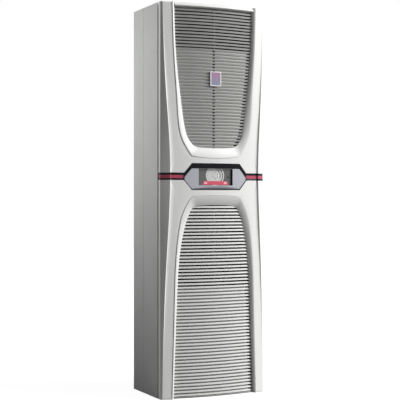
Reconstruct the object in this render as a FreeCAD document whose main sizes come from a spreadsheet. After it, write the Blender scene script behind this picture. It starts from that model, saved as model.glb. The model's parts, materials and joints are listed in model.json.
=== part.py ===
import FreeCAD, Part
import math
import operator
import os
from types import SimpleNamespace

import Sketcher
from FreeCAD import Placement, Rotation, Vector

# Wall-mounted enclosure cooling unit, in millimetres.
# +Z is up, the crowned front faces -Y, and the origin is under the middle of the unit.
# The front chamber carries room air, and the rear chamber, behind the divider, carries cabinet air.

doc = FreeCAD.newDocument("cooling_unit")
PIECES = []
UP = Vector(0, 0, 1)
ALONG_X = Vector(1, 0, 0)
BACK = Vector(0, 1, 0)
FRONT = Vector(0, -1, 0)
DIAGONAL = math.sqrt(0.5)

# Driving dimensions
SIZES = {
    # casing, measured from the back towards the front
    "width": 450, "height": 1535, "depth": 308,
    "rear_depth": 104, "front_depth": 142.3, "shadow_gap": 9.7, "cover_side": 17,
    "sheet_wall": 1.5, "seam_gap": 1, "seam_flange": 8, "front_flange": 20,
    # crowned front, and the waisted crease of its side facets with the lip raised along it
    "crown_radius": 915, "cover_wall": 3, "fit_gap": 0.5,
    "crease_waist": 191.5, "crease_spread": 36, "waist_level": 886,
    "crease_reach_up": 352, "crease_reach_down": 450, "lip_width": 6.5, "lip_height": 4,
    # band and coloured stripe at the waist
    "band_low": 846.4, "band_high": 875, "band_set_back": 1.2,
    "stripe_low": 853.4, "stripe_high": 866.5, "stripe_thick": 1,
    # louvre inserts
    "louvre_depth": 11, "louvre_thick": 9, "throat_land": 1.5, "insert_gap": 1, "end_chamfer": 2,
    "top_round": 24, "top_slant": 26, "gap_height": 6, "slat_slope": 3.6, "slat_lean": 2.7,
    "slat_set_back": 0.3, "slat_depth": 8.2, "slat_lap": 1,
    "backing_depth": 6, "backing_thick": 1.5, "backing_gap": 4, "backing_slit": 3.5, "rib_lap": 1,
    "upper_pitch": 12.6, "upper_first": 1513.8, "upper_open": 13, "upper_count": 44,
    "lower_pitch": 13.03, "lower_first": 735.3, "lower_open": 24, "lower_count": 56,
    "upper_rim_cap": 934, "upper_throat_cap": 972, "lower_rim_cap": 787, "lower_throat_cap": 749,
    "rib_half": 2, "rib_depth": 8,
    "badge_half": 23.5, "badge_low": 1214.5, "badge_high": 1272, "badge_thick": 3,
    # snap studs of the inserts and the sockets that hold them
    "stud_radius": 3, "stud_play": 0.06, "stud_end_gap": 1, "stud_lap": 4,
    "socket_radius": 7, "socket_length": 18,
    "upper_end_stud_half": 174, "upper_end_stud_level": 1485,
    "upper_inner_stud_half": 111, "upper_inner_stud_level": 986,
    "lower_end_stud_half": 174.5, "lower_end_stud_level": 50,
    "lower_inner_stud_half": 116, "lower_inner_stud_level": 736,
    # carrier frame behind the front
    "frame_inset": 9, "frame_wall": 2, "frame_reach": 17.7, "frame_bar": 30, "display_bar": 120,
    "pad_height": 14, "pad_depth": 5, "pad_inset": 45, "pad_set_back": 1,
    # six-sided display
    "hex_half_wide": 136, "hex_half_narrow": 103.5,
    "hex_low": 808.3, "hex_mid_low": 846, "hex_mid_high": 873.5, "hex_high": 911.5,
    "surround_back": 36, "surround_slant": 12, "surround_top": 19.5, "surround_low": 3.5, "ledge": 4,
    "bezel_back": 24, "bezel_set_back": 1,
    "bezel_slope_high": 824, "bezel_slope_low": 809.5, "bezel_slope_depth": 10,
    "screen_half": 72, "screen_low": 826, "screen_high": 890, "lens_set_back": 2,
    "lens_thick": 4, "lens_ledge": 3, "bracket_half": 98, "bracket_low": 813, "bracket_high": 907,
    "module_half": 66, "module_low": 832, "module_high": 884, "module_front": 12, "board_thick": 1.6,
    # fans
    "fan_radius": 122, "eye_radius": 92, "nozzle_radius": 88, "nozzle_length": 18, "ring_radius": 125,
    "wall_hole": 106, "fan_wall": 2, "hub_radius": 50, "hub_top": 40, "fan_front": 12, "shroud_at": 28,
    "disc_at": 66, "disc_thick": 3, "shaft_radius": 6, "shaft_play": 0.05, "shaft_length": 11,
    "motor_radius": 46, "motor_flange": 10, "motor_gap": 2,
    "blade_root": 70, "blade_start": 20, "blade_sweep": 42, "blade_curl": 1.4, "blade_thick": 2.4,
    "blade_tip_gap": 1, "blade_count": 7,
    "outer_fan_level": 1190, "inner_fan_level": 1315, "fan_bracket_depth": 86, "fan_bracket_half": 20,
    "fan_arm_at": 130, "fan_plate_depth": 66.3, "plate_foot": 780, "plenum_floor": 948,
    # rear openings, sockets and fixings
    "outlet_half": 150, "outlet_low": 330, "outlet_high": 560,
    "socket_low": 610, "socket_high": 640, "power_left": -70, "signal_left": 20,
    "plug_width": 50, "plug_lip": 4, "plug_depth": 22,
    "nut_half_span": 205, "nut_low": 90, "nut_mid": 750, "nut_high": 1450, "nut_bore": 2.5, "nut_body": 4.5,
    "nut_collar": 7, "nut_length": 15,
    "lift_half_span": 170, "lift_depth": 54, "lift_bore": 5.1, "lift_body": 9, "lift_collar": 13,
    "lift_length": 20,
    "screw_shank": 2.5, "screw_length": 8, "screw_head": 4.5, "screw_head_high": 2.5, "screw_play": 0.05,
    "screw_inset": 16,
    # heat exchangers
    "condenser_half": 190, "condenser_low": 405, "condenser_high": 755,
    "condenser_front": -82, "condenser_back": -36, "condenser_runs": 9, "condenser_pitch": 38,
    "evaporator_half": 180, "evaporator_low": 760, "evaporator_high": 932,
    "evaporator_front": 56, "evaporator_back": 142, "evaporator_runs": 5, "evaporator_pitch": 34,
    "tube_radius": 5, "tube_play": 0.1, "fin_pitch": 10, "fin_slot": 6, "fin_depth": 14,
    "end_plate": 2, "plate_lap": 8, "plate_front_lip": 4, "plate_back_lip": 2,
    # compressor set
    "compressor_x": -105, "compressor_y": -22, "compressor_radius": 50, "compressor_high": 262,
    "compressor_base": 30, "compressor_shoulder": 12,
    "foot_plate_radius": 62, "foot_plate_thick": 3, "foot_radius": 10, "foot_circle": 54, "foot_turn": 30,
    "foot_nut_radius": 5, "foot_nut_high": 6, "terminal_radius": 18, "terminal_high": 25,
    "discharge_offset": 28, "elbow_low": 58,
    "accumulator_x": -20, "accumulator_radius": 24, "accumulator_low": 80, "accumulator_high": 250,
    "base_plate_thick": 3, "base_plate_half": 212, "base_plate_inset": 6,
    # pipe runs
    "pipe_bend": 11, "side_pipe_x": 206, "suction_y": 20, "discharge_level": 352, "suction_level": 330,
    "liquid_x": 204.5, "liquid_y": 5, "drier_radius": 11.5, "drier_low": 540, "drier_high": 640,
    "valve_radius": 11, "valve_low": 680, "valve_high": 720,
    "grommet_radius": 7, "grommet_lip": 9, "grommet_thick": 2,
    # condensate tray and drain
    "tray_half": 180, "tray_low": 20, "tray_high": 60, "tray_front": 56, "tray_back": 146, "tray_foot": 20,
    "drain_radius": 9, "drain_bore": 6, "drain_x": 120, "drain_y": 100,
    # inverter electronics
    "inverter_half": 140, "inverter_low": 800, "inverter_high": 925, "inverter_depth": 58,
    "inverter_wall": 2, "inverter_board": 118,
    "sink_half": 110, "sink_base": 5, "sink_fin": 2, "sink_reach": 34, "sink_count": 20,
}

# Half width and level of the points that shape each insert, from the outer end of the front to the display
OUTLINES = {
    "upper_rim": ((182.5, 1535), (175.3, 1319), (164, 1161), (153.7, 1055), (139.8, 1004), (105.4, 943)),
    "upper_throat": ((167.2, 1519), (158.6, 1319), (143, 1162), (126, 1056), (109, 1004.5), (88, 977)),
    "lower_rim": ((183, 0), (174, 377), (156, 651), (148.5, 691), (129, 744), (105, 782)),
    "lower_throat": ((167.4, 6), (151.8, 376.5), (131, 643.6), (125, 675), (108.7, 718), (92.4, 745)),
}
for outline_name, outline_points in OUTLINES.items():
    for order, (half, level) in enumerate(outline_points):
        SIZES[f"{outline_name}_half_{order}"] = half
        SIZES[f"{outline_name}_level_{order}"] = level

sheet = doc.addObject("Spreadsheet::Sheet", "Sizes")
for row, (alias, number) in enumerate(SIZES.items(), 1):
    sheet.set(f"A{row}", alias)
    sheet.set(f"B{row}", str(number))
    sheet.setAlias(f"B{row}", alias)
doc.recompute()


class Size:
    """A length together with the sheet formula that gives it."""

    def __init__(self, number, formula):
        self.number = float(number)
        self.formula = formula

    def __add__(self, other):
        return combine(self, "+", other)

    def __radd__(self, other):
        return combine(other, "+", self)

    def __sub__(self, other):
        return combine(self, "-", other)

    def __rsub__(self, other):
        return combine(other, "-", self)

    def __mul__(self, other):
        return combine(self, "*", other)

    def __rmul__(self, other):
        return combine(other, "*", self)

    def __truediv__(self, other):
        return combine(self, "/", other)

    def __neg__(self):
        return combine(0, "-", self)


OPERATIONS = {"+": operator.add, "-": operator.sub, "*": operator.mul, "/": operator.truediv}


def as_size(amount):
    """A plain number becomes a size whose formula is that number."""
    if isinstance(amount, Size):
        return amount
    return Size(amount, repr(float(amount)))


def combine(first, sign, second):
    first = as_size(first)
    second = as_size(second)
    number = OPERATIONS[sign](first.number, second.number)
    return Size(number, f"({first.formula} {sign} {second.formula})")


d = SimpleNamespace(**{alias: Size(getattr(sheet, alias), f"Sizes.{alias}") for alias in SIZES})
v = SimpleNamespace(**{alias: float(getattr(sheet, alias)) for alias in SIZES})


# Bound primitives, booleans and sketched bodies

def place(item, x, y, z, axis=UP):
    """Turn the item's own Z to the axis and tie its base to the sheet."""
    item.Placement = Placement(Vector(), Rotation(UP, axis))
    for letter, amount in zip("xyz", (x, y, z)):
        item.setExpression(f"Placement.Base.{letter}", as_size(amount).formula)
    return item


def bind(item, **amounts):
    for name, amount in amounts.items():
        item.setExpression(name, as_size(amount).formula)
    return item


def box(name, x, y, z):
    """Box between two limits along each axis."""
    item = doc.addObject("Part::Box", name)
    bind(item, Length=x[1] - x[0], Width=y[1] - y[0], Height=z[1] - z[0])
    return place(item, x[0], y[0], z[0])


def span(half):
    """Limits that lie evenly about the middle."""
    return -half, half


def rod(name, radius, length, x, y, z, axis=UP):
    item = doc.addObject("Part::Cylinder", name)
    bind(item, Radius=radius, Height=length)
    return place(item, x, y, z, axis)


def fuse(name, items):
    item = doc.addObject("Part::MultiFuse", name)
    item.Shapes = items
    return item


def cut(name, base, tools):
    item = doc.addObject("Part::Cut", name)
    item.Base = base
    item.Tool = tools[0] if len(tools) == 1 else fuse(f"{name}_tools", tools)
    return item


def group(name, items):
    """Like pieces that share one node and stay separate solids."""
    item = doc.addObject("Part::Compound", name)
    item.Links = items
    return item


def solid(name, shape):
    item = doc.addObject("Part::Feature", name)
    item.Shape = shape
    return item


def piece(item, label=None):
    """Mark an object as a finished sub-part."""
    if label:
        item.Label = label
    PIECES.append(item)
    return item


def origin_plane(body, role):
    return [feature for feature in body.Origin.OriginFeatures if feature.Role == role][0]


def sketch(body, name, role, outline):
    """Closed polygon on an origin plane, with each corner held at two bound distances from the origin."""
    drawing = body.newObject("Sketcher::SketchObject", name)
    drawing.AttachmentSupport = [(origin_plane(body, role), "")]
    drawing.MapMode = "FlatFace"
    corners = [(as_size(a), as_size(b)) for a, b in outline]
    spots = [Vector(a.number, b.number, 0) for a, b in corners]
    count = len(spots)
    for index, spot in enumerate(spots):
        drawing.addGeometry(Part.LineSegment(spot, spots[(index + 1) % count]), False)
    for index in range(count):
        drawing.addConstraint(Sketcher.Constraint("Coincident", index, 2, (index + 1) % count, 1))
    for index, corner in enumerate(corners):
        for kind, amount in zip(("DistanceX", "DistanceY"), corner):
            hold_corner(drawing, index, kind, amount)
    return drawing


def hold_corner(drawing, index, kind, amount):
    """Distance from the origin to the start of an edge, or the other way round on the low side."""
    if amount.number < 0:
        constraint = Sketcher.Constraint(kind, index, 1, -1, 1, -amount.number)
        amount = -amount
    else:
        constraint = Sketcher.Constraint(kind, -1, 1, index, 1, amount.number)
    number = drawing.addConstraint(constraint)
    drawing.setExpression(f"Constraints[{number}]", amount.formula)


def turn(body, name, outline):
    """Revolve a polygon of radius and height about the body's own Z."""
    feature = body.newObject("PartDesign::Revolution", name)
    feature.Profile = sketch(body, f"{name}_profile", "XZ_Plane", outline)
    feature.ReferenceAxis = (feature.Profile[0], ["V_Axis"])
    feature.Angle = 360
    return feature


def pad(body, name, role, outline, length):
    feature = body.newObject("PartDesign::Pad", name)
    feature.Profile = sketch(body, f"{name}_profile", role, outline)
    bind(feature, Length=length)
    return feature


def turned(name, outline, x, y, z, axis=UP):
    body = doc.addObject("PartDesign::Body", name)
    turn(body, f"{name}_turn", outline)
    return place(body, x, y, z, axis)


# Stations along the depth
back_face = d.depth / 2
back_inside = back_face - d.sheet_wall
seam = back_face - d.rear_depth
rear_edge = seam + d.seam_gap / 2
front_rear_edge = seam - d.seam_gap / 2
housing_front = seam - d.front_depth
cover_rear = housing_front - d.shadow_gap
facet_root = cover_rear - d.cover_side
half_width = d.width / 2
inner_half = half_width - d.sheet_wall
divider_back = front_rear_edge - d.sheet_wall
divider_front = divider_back - d.sheet_wall
frame_face = housing_front - d.frame_wall
fan_plate_back = housing_front + d.fan_plate_depth + d.sheet_wall
fan_plate_front = housing_front + d.fan_plate_depth
below_top = d.height - d.sheet_wall
nut_levels = (d.nut_low, d.nut_mid, d.nut_high)
nut_spots = [(side * d.nut_half_span, level) for side in (-1, 1) for level in nut_levels]
lift_y = back_face - d.lift_depth
evaporator_middle = (d.evaporator_low + d.evaporator_high) / 2
run_reach = (d.evaporator_runs - 1) * d.evaporator_pitch / 2
crossings = ((-d.side_pipe_x, evaporator_middle + run_reach), (d.liquid_x, evaporator_middle - run_reach))


# Casing

def sheet_shell(name, front, back, front_flange, back_flange=None):
    """Folded sheet box with inward flanges at its open edges; without a rear flange its back is closed."""
    wall = d.sheet_wall
    outer = box(f"{name}_outer", span(half_width), (front, back), (0, d.height))
    hollow = box(f"{name}_hollow", span(inner_half), (front + wall, back - wall), (wall, below_top))
    mouth = box(f"{name}_mouth", span(half_width - front_flange), (front, front + wall),
                (front_flange, d.height - front_flange))
    tools = [hollow, mouth]
    if back_flange:
        tools.append(box(f"{name}_rear_mouth", span(half_width - back_flange), (back - wall, back),
                         (back_flange, d.height - back_flange)))
    return outer, tools


def rear_housing():
    outer, tools = sheet_shell("rear_housing", rear_edge, back_face, d.seam_flange)
    wall_y = back_inside
    tools.append(rod("inlet_hole", d.wall_hole, d.sheet_wall, 0, wall_y, d.inner_fan_level, BACK))
    tools.append(box("outlet_hole", span(d.outlet_half), (wall_y, back_face), (d.outlet_low, d.outlet_high)))
    for name, left in (("power", d.power_left), ("signal", d.signal_left)):
        tools.append(box(f"{name}_hole", (left, left + d.plug_width), (wall_y, back_face),
                         (d.socket_low, d.socket_high)))
    for index, (x, z) in enumerate(nut_spots):
        tools.append(rod(f"nut_hole_{index}", d.nut_body, d.sheet_wall, x, wall_y, z, BACK))
    for side in (-1, 1):
        tools.append(rod(f"lift_hole_{side + 1}", d.lift_body, d.sheet_wall,
                         side * d.lift_half_span, lift_y, below_top))
    tools.append(rod("drain_hole", d.drain_radius, d.sheet_wall, d.drain_x, d.drain_y, 0))
    piece(cut("rear_housing", outer, tools))


def bar_levels():
    """Middle of each cross bar of the carrier frame and its height."""
    return ((d.lower_end_stud_level, d.frame_bar), (d.lower_inner_stud_level, d.frame_bar),
            ((d.hex_low + d.hex_high) / 2, d.display_bar), (d.upper_inner_stud_level, d.frame_bar),
            (d.upper_end_stud_level, d.frame_bar))


def screw_spots():
    x = half_width - d.screw_inset
    return [(side * x, level) for side in (-1, 1) for level, _ in bar_levels()]


def front_housing():
    outer, tools = sheet_shell("front_housing", housing_front, front_rear_edge, d.front_flange, d.seam_flange)
    for index, (x, z) in enumerate(screw_spots()):
        tools.append(rod(f"flange_hole_{index}", d.screw_shank + d.screw_play, d.sheet_wall,
                         x, housing_front, z, BACK))
    piece(cut("front_housing", outer, tools))


def front_frame():
    """Upright rim that the covers close over, with flat bars across it."""
    outer_half = half_width - d.frame_inset
    inner = outer_half - d.frame_wall
    low = d.frame_inset
    high = d.height - d.frame_inset
    rim_y = (housing_front - d.frame_reach, housing_front)
    rim = cut("frame_rim", box("frame_block", span(outer_half), rim_y, (low, high)),
              [box("frame_window", span(inner), rim_y, (low + d.frame_wall, high - d.frame_wall))])
    bar_y = (frame_face, housing_front)
    bars = [box(f"frame_bar_{index}", span(inner), bar_y, (level - tall / 2, level + tall / 2))
            for index, (level, tall) in enumerate(bar_levels())]
    holes = [rod(f"frame_hole_{index}", d.screw_shank + d.screw_play, d.frame_wall, x, frame_face, z, BACK)
             for index, (x, z) in enumerate(screw_spots())]
    piece(cut("front_frame", fuse("frame_blank", [rim] + bars), holes))


def frame_screws():
    screws = []
    for index, (x, z) in enumerate(screw_spots()):
        head_face = frame_face - d.screw_head_high
        head = rod(f"screw_head_{index}", d.screw_head, d.screw_head_high, x, head_face, z, BACK)
        shank = rod(f"screw_shank_{index}", d.screw_shank, d.screw_length, x, frame_face, z, BACK)
        screws.append(fuse(f"screw_{index}", [head, shank]))
    piece(group("frame_screws", screws))


def housing_gasket():
    lap = d.sheet_wall / 2
    y = (front_rear_edge, rear_edge)
    outer = box("gasket_block", span(half_width - lap), y, (lap, d.height - lap))
    window = box("gasket_window", span(half_width - d.seam_flange), y,
                 (d.seam_flange, d.height - d.seam_flange))
    piece(cut("housing_gasket", outer, [window]))


def divider_panel():
    panel = box("divider_sheet", span(inner_half), (divider_front, divider_back), (d.sheet_wall, below_top))
    holes = [rod(f"divider_hole_{index}", d.grommet_radius, d.sheet_wall, x, divider_front, z, BACK)
             for index, (x, z) in enumerate(crossings)]
    piece(cut("divider_panel", panel, holes))


def pipe_grommets():
    """Rubber grommets that seal the two pipes where they cross the divider."""
    rings = []
    long = d.sheet_wall + d.grommet_thick
    start = divider_front - d.grommet_thick
    for index, (x, z) in enumerate(crossings):
        plug = rod(f"grommet_plug_{index}", d.grommet_radius, long, x, start, z, BACK)
        lip = rod(f"grommet_lip_{index}", d.grommet_lip, d.grommet_thick, x, start, z, BACK)
        bore = rod(f"grommet_bore_{index}", d.tube_radius + d.tube_play, long, x, start, z, BACK)
        rings.append(cut(f"grommet_{index}", fuse(f"grommet_blank_{index}", [plug, lip]), [bore]))
    piece(group("pipe_grommets", rings))


# Crowned front

axis_y = v.crown_radius - v.depth / 2
CROWN_AXIS = Vector(0, axis_y, 0)
FACET_STATIONS = 9
FACET_OVERRUN = 0.5
END_OVERRUN = 5.0
CUT_THROUGH = 1.0
LIP_STEPS = (0.55, 1.2)
LIP_SINK = 0.5
PRISM_FRONT = -v.depth / 2 - 20
PRISM_BACK = housing_front.number


def crown_y(x, inset=0.0):
    """Depth of the crown, or of a surface concentric with it, at a distance from the middle."""
    return axis_y - math.sqrt((v.crown_radius - inset) ** 2 - x * x)


def crease(level):
    """Half width at the crease: narrow at the waist, spreading out and levelling off towards each end."""
    distance = level - v.waist_level
    reach = v.crease_reach_up if distance > 0 else v.crease_reach_down
    return v.crease_waist + v.crease_spread * distance ** 2 / (distance ** 2 + reach ** 2)


def facet_levels():
    """Stations from below the unit to above it."""
    tall = v.height + 2 * END_OVERRUN
    return [tall * station / FACET_STATIONS - END_OVERRUN for station in range(FACET_STATIONS + 1)]


def loft_to_side(sections, side):
    """Loft through polygons drawn for the right side, or through their mirror images for the left."""
    rings = []
    for corners in sections:
        corners = [Vector(side * corner.x, corner.y, corner.z) for corner in corners]
        rings.append(Part.makePolygon(corners + corners[:1]))
    return Part.makeLoft(rings, True, False)


def crease_lip(side, inset):
    """Lip that rises from the crown by the square of the way out to the crease and runs on to the side."""
    outer = half_width.number - inset
    sections = []
    for level in facet_levels():
        inner = crease(level) - v.lip_width
        start = Vector(inner - CUT_THROUGH, crown_y(inner, inset) + LIP_SINK, level)
        corners = [start + BACK * v.lip_height, start]
        for share in LIP_STEPS:
            x = inner + v.lip_width * share
            corners.append(Vector(x, crown_y(x, inset) - v.lip_height * share ** 2, level))
        corners.append(Vector(outer, corners[-1].y, level))
        corners.append(Vector(outer, crown_y(outer, inset) + v.lip_height, level))
        sections.append(corners)
    return loft_to_side(sections, side)


def facet_tool(side, inset):
    """Lofted block that takes off one side of the crown in front of its slanted facet."""
    sections = []
    for level in facet_levels():
        root = Vector(half_width.number, facet_root.number, level)
        half = crease(level)
        ridge = Vector(half, crown_y(half) - v.lip_height, level)
        along = ridge - root
        inward = Vector(along.y, -along.x, 0)
        inward.normalize()
        start = root - along * FACET_OVERRUN + inward * inset
        end = ridge + along * FACET_OVERRUN + inward * inset
        sections.append([start, end, Vector(end.x, PRISM_FRONT, level), Vector(start.x, PRISM_FRONT, level)])
    return loft_to_side(sections, side)


def crowned_block(low, high, inset, rear):
    """Full-width block with the crown in front, lips raised and facets cut, all moved in by the inset."""
    half = half_width.number - inset
    edge = crown_y(half, inset)
    left = Vector(-half, edge, low)
    right = Vector(half, edge, low)
    tip = Vector(0, axis_y - v.crown_radius + inset, low)
    rear_left = Vector(-half, rear, low)
    rear_right = Vector(half, rear, low)
    curve = Part.Arc(left, tip, right).toShape()
    walls = ((right, rear_right), (rear_right, rear_left), (rear_left, left))
    outline = Part.Wire([curve] + [Part.makeLine(*ends) for ends in walls])
    block = Part.Face(outline).extrude(Vector(0, 0, high - low))
    slab = Part.makeBox(v.width, v.depth, high - low, Vector(-v.width / 2, PRISM_FRONT, low))
    lips = [crease_lip(side, inset).common(slab) for side in (-1, 1)]
    facets = [facet_tool(side, inset) for side in (-1, 1)]
    return block.fuse(lips).cut(facets).removeSplitter()


def crowned_shell(low, high, inset, wall, end_wall):
    """Hollow moulding, open at the rear."""
    rear = cover_rear.number
    outer = crowned_block(low, high, inset, rear)
    return outer.cut(crowned_block(low + end_wall, high - end_wall, inset + wall, rear + CUT_THROUGH))


def prism(wire, front=PRISM_FRONT, back=PRISM_BACK):
    """Straight block from the front to the back of the covers behind an outline drawn at its front."""
    return Part.Face(wire).extrude(Vector(0, back - front, 0))


def concentric(radius):
    """Solid drum about the crown's axis, longer than the unit is tall."""
    return Part.makeCylinder(radius, v.height + 2 * END_OVERRUN, CROWN_AXIS - UP * END_OVERRUN)


def polygon(points, y=PRISM_FRONT):
    corners = [Vector(x, y, z) for x, z in points]
    return Part.makePolygon(corners + corners[:1])


def rectangle(half, low, high, y=PRISM_FRONT):
    return polygon(((-half, low), (half, low), (half, high), (-half, high)), y)


def insert_points(name):
    orders = range(len(OUTLINES[name]))
    return [(getattr(v, f"{name}_half_{order}"), getattr(v, f"{name}_level_{order}")) for order in orders]


def insert_wire(points, cap, y=PRISM_FRONT):
    """Curve down each side, an arc across the end by the display and a straight outer end."""
    right = [Vector(x, y, z) for x, z in points]
    left = [Vector(-spot.x, y, spot.z) for spot in reversed(right)]
    edges = []
    for side in (right, left):
        curve = Part.BSplineCurve()
        curve.interpolate(side)
        edges.append(curve.toShape())
    arc = Part.Arc(right[-1], Vector(0, y, cap), left[0]).toShape()
    return Part.Wire([edges[0], arc, edges[1], Part.makeLine(left[-1], right[0])])


def shrunk(points, cap, margin):
    """Outline drawn in by a margin on all sides."""
    towards = 1 if points[0][1] < points[-1][1] else -1
    moved = [(x - margin, z) for x, z in points]
    moved[0] = (moved[0][0], points[0][1] + towards * margin)
    moved[-1] = (moved[-1][0], points[-1][1] - towards * margin)
    return moved, cap - towards * margin


def bevel_tool(rim, rim_cap, throat, throat_cap):
    """Funnel from the rim on the crown to the throat on the louvre face."""
    depth = v.louvre_depth
    pairs = list(zip(rim, throat)) + [((0.0, rim_cap), (0.0, throat_cap))]
    floors = sorted(crown_y(inner[0], depth) for _, inner in pairs)
    sections = []
    for y in [axis_y - v.crown_radius - END_OVERRUN] + floors + [floors[-1] + END_OVERRUN]:
        spots = []
        for outer, inner in pairs:
            start = crown_y(outer[0])
            share = min(1.0, (y - start) / (crown_y(inner[0], depth) - start))
            spots.append((outer[0] + share * (inner[0] - outer[0]), outer[1] + share * (inner[1] - outer[1])))
        sections.append(insert_wire(spots[:-1], spots[-1][1], y))
    return Part.makeLoft(sections, True, True).cut(concentric(v.crown_radius - depth))


def tilt(insert):
    """The upper slats look down and rise inwards, and the lower insert is the other way up."""
    return 1 if insert == "upper" else -1


def gap_level(insert, number):
    return getattr(v, f"{insert}_first") - number * getattr(v, f"{insert}_pitch")


def blind_edge(insert):
    """Level where the open slats end and the blind ones begin."""
    return gap_level(insert, getattr(v, f"{insert}_open") - 0.5)


def slats(insert):
    """Leaning bars between the gaps, swept about the crown's axis."""
    way = tilt(insert)
    half = (getattr(v, f"{insert}_pitch") - v.gap_height) / 2
    face = axis_y - v.crown_radius + v.louvre_depth + v.slat_set_back
    rear = face + v.slat_depth
    faces = []
    for number in range(-1, int(getattr(v, f"{insert}_count"))):
        level = gap_level(insert, number + 0.5)
        section = ((face, half), (face + v.slat_lean, -half),
                   (rear, v.slat_slope - half), (rear, v.slat_slope + half))
        corners = [Vector(0, y, level + way * offset) for y, offset in section]
        faces.append(Part.Face(Part.makePolygon(corners + corners[:1])))
    return swept(Part.makeCompound(faces))


def swept(profile):
    """Profile drawn at the middle and carried across the full width about the crown's axis."""
    sweep = 2 * math.degrees(math.asin(v.width / 2 / v.crown_radius))
    profile.rotate(CROWN_AXIS, UP, -sweep / 2)
    return profile.revolve(CROWN_AXIS, UP, sweep)


def backing(insert, throat, throat_cap):
    """Plates close behind the slats of the blind end, short of the frame; the upper one has a slit."""
    outline = [(half - v.backing_gap, level) for half, level in throat]
    blind_end = throat_cap if insert == "upper" else throat[0][1]
    zone = prism(rectangle(v.width / 2, *sorted((blind_edge(insert), blind_end))))
    plate = prism(insert_wire(outline, throat_cap)).common(zone)
    face = v.crown_radius - v.louvre_depth - v.backing_depth
    plate = plate.common(concentric(face)).cut(concentric(face - v.backing_thick))
    if insert == "upper":
        plate = plate.cut(prism(rectangle(v.backing_slit, 0, v.height)))
    return plate


def grille_studs(insert):
    """Snap studs on the back of an insert."""
    studs = []
    for end in ("end", "inner"):
        half = getattr(v, f"{insert}_{end}_stud_half")
        level = getattr(v, f"{insert}_{end}_stud_level")
        start = crown_y(half, v.louvre_depth + v.louvre_thick) - v.stud_lap
        length = frame_face.number - v.stud_end_gap - start
        for side in (-1, 1):
            studs.append(Part.makeCylinder(v.stud_radius, length, Vector(side * half, start, level), BACK))
    return studs


def rail_rounding(top):
    """Ring that takes off the front edge of the top rail along an arc that meets both faces at a slant."""
    radius = v.top_round
    face = axis_y - v.crown_radius
    slant = math.radians(v.top_slant)
    centre = Vector(0, face + radius * math.cos(slant), top - radius * math.cos(slant))
    rise = radius * math.sin(slant)
    start = Vector(0, face, centre.z + rise)
    end = Vector(0, centre.y - rise, top)
    bulge = centre + (FRONT + UP) * radius * DIAGONAL
    before = start + FRONT * CUT_THROUGH
    above = end + UP * CUT_THROUGH
    corner = Vector(0, before.y, above.z)
    lines = ((end, above), (above, corner), (corner, before), (before, start))
    outline = Part.Wire([Part.Arc(start, bulge, end).toShape()] + [Part.makeLine(*ends) for ends in lines])
    return swept(Part.Face(outline))


def end_skirt(edge, way):
    """Wall that closes the outer end of an insert back to the carrier frame."""
    outer = edge[0][1]
    inner = outer - way * v.cover_wall
    block = prism(rectangle(edge[0][0], min(outer, inner), max(outer, inner)), PRISM_FRONT, cover_rear.number)
    return block.common(concentric(v.crown_radius))


def grille(insert):
    """Crowned frame with a bevelled funnel, leaning slats, backing, a rib behind the open slats and studs."""
    way = tilt(insert)
    rim_cap = getattr(v, f"{insert}_rim_cap")
    throat_cap = getattr(v, f"{insert}_throat_cap")
    rim = insert_points(f"{insert}_rim")
    throat = insert_points(f"{insert}_throat")
    edge, edge_cap = shrunk(rim, rim_cap, v.insert_gap)
    mouth, mouth_cap = shrunk(rim, rim_cap, v.cover_wall)
    mouth[0] = (mouth[0][0], throat[0][1] + way * v.end_chamfer)
    plate_back = v.crown_radius - v.louvre_depth - v.louvre_thick
    frame = prism(insert_wire(edge, edge_cap)).common(concentric(v.crown_radius)).cut(concentric(plate_back))
    frame = frame.cut(bevel_tool(mouth, mouth_cap, throat, throat_cap))
    frame = frame.cut(prism(insert_wire(*shrunk(throat, throat_cap, v.throat_land))))
    bars = slats(insert).common(prism(insert_wire(*shrunk(throat, throat_cap, v.throat_land - v.slat_lap))))
    open_end = throat[0][1] if insert == "upper" else throat_cap
    rib = prism(rectangle(v.rib_half, *sorted((open_end, blind_edge(insert)))))
    rib = rib.common(concentric(plate_back + v.rib_lap)).cut(concentric(plate_back - v.rib_depth))
    others = [bars, backing(insert, throat, throat_cap), rib, end_skirt(edge, way)]
    whole = frame.fuse(others + grille_studs(insert))
    if insert == "upper":
        whole = whole.cut(rail_rounding(edge[0][1]))
    piece(solid(f"{insert}_grille", whole.removeSplitter()))


def stud_sockets():
    sockets = []
    length = d.socket_length
    for insert in ("upper", "lower"):
        for end in ("end", "inner"):
            for side in (-1, 1):
                name = f"{insert}_{end}_{side + 1}"
                half = getattr(d, f"{insert}_{end}_stud_half")
                at = (side * half, frame_face - length, getattr(d, f"{insert}_{end}_stud_level"), BACK)
                sockets.append(cut(f"socket_{name}", rod(f"socket_body_{name}", d.socket_radius, length, *at),
                                   [rod(f"socket_bore_{name}", d.stud_radius + d.stud_play, length, *at)]))
    piece(group("stud_sockets", sockets))


def seat_pads(levels, inset):
    """Blocks inside the side walls of a moulding that bear on the carrier frame."""
    inner = half_width.number - inset
    outer_frame = half_width.number - v.frame_inset
    rear = cover_rear.number - v.pad_set_back
    pads = []
    for level in levels:
        for side in (-1, 1):
            low_x = min(side * inner, side * outer_frame)
            pads.append(Part.makeBox(inner - outer_frame, v.pad_depth, v.pad_height,
                                     Vector(low_x, rear - v.pad_depth, level)))
    return pads


def frame_notches():
    """Room for the upright sides of the carrier frame."""
    play = v.fit_gap
    outer = half_width.number - v.frame_inset + play
    thick = v.frame_wall + 2 * play
    front = housing_front.number - v.frame_reach - play
    reach = cover_rear.number - front + CUT_THROUGH
    return [Part.makeBox(thick, reach, v.height, Vector(left, front, 0)) for left in (-outer, outer - thick)]


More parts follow.
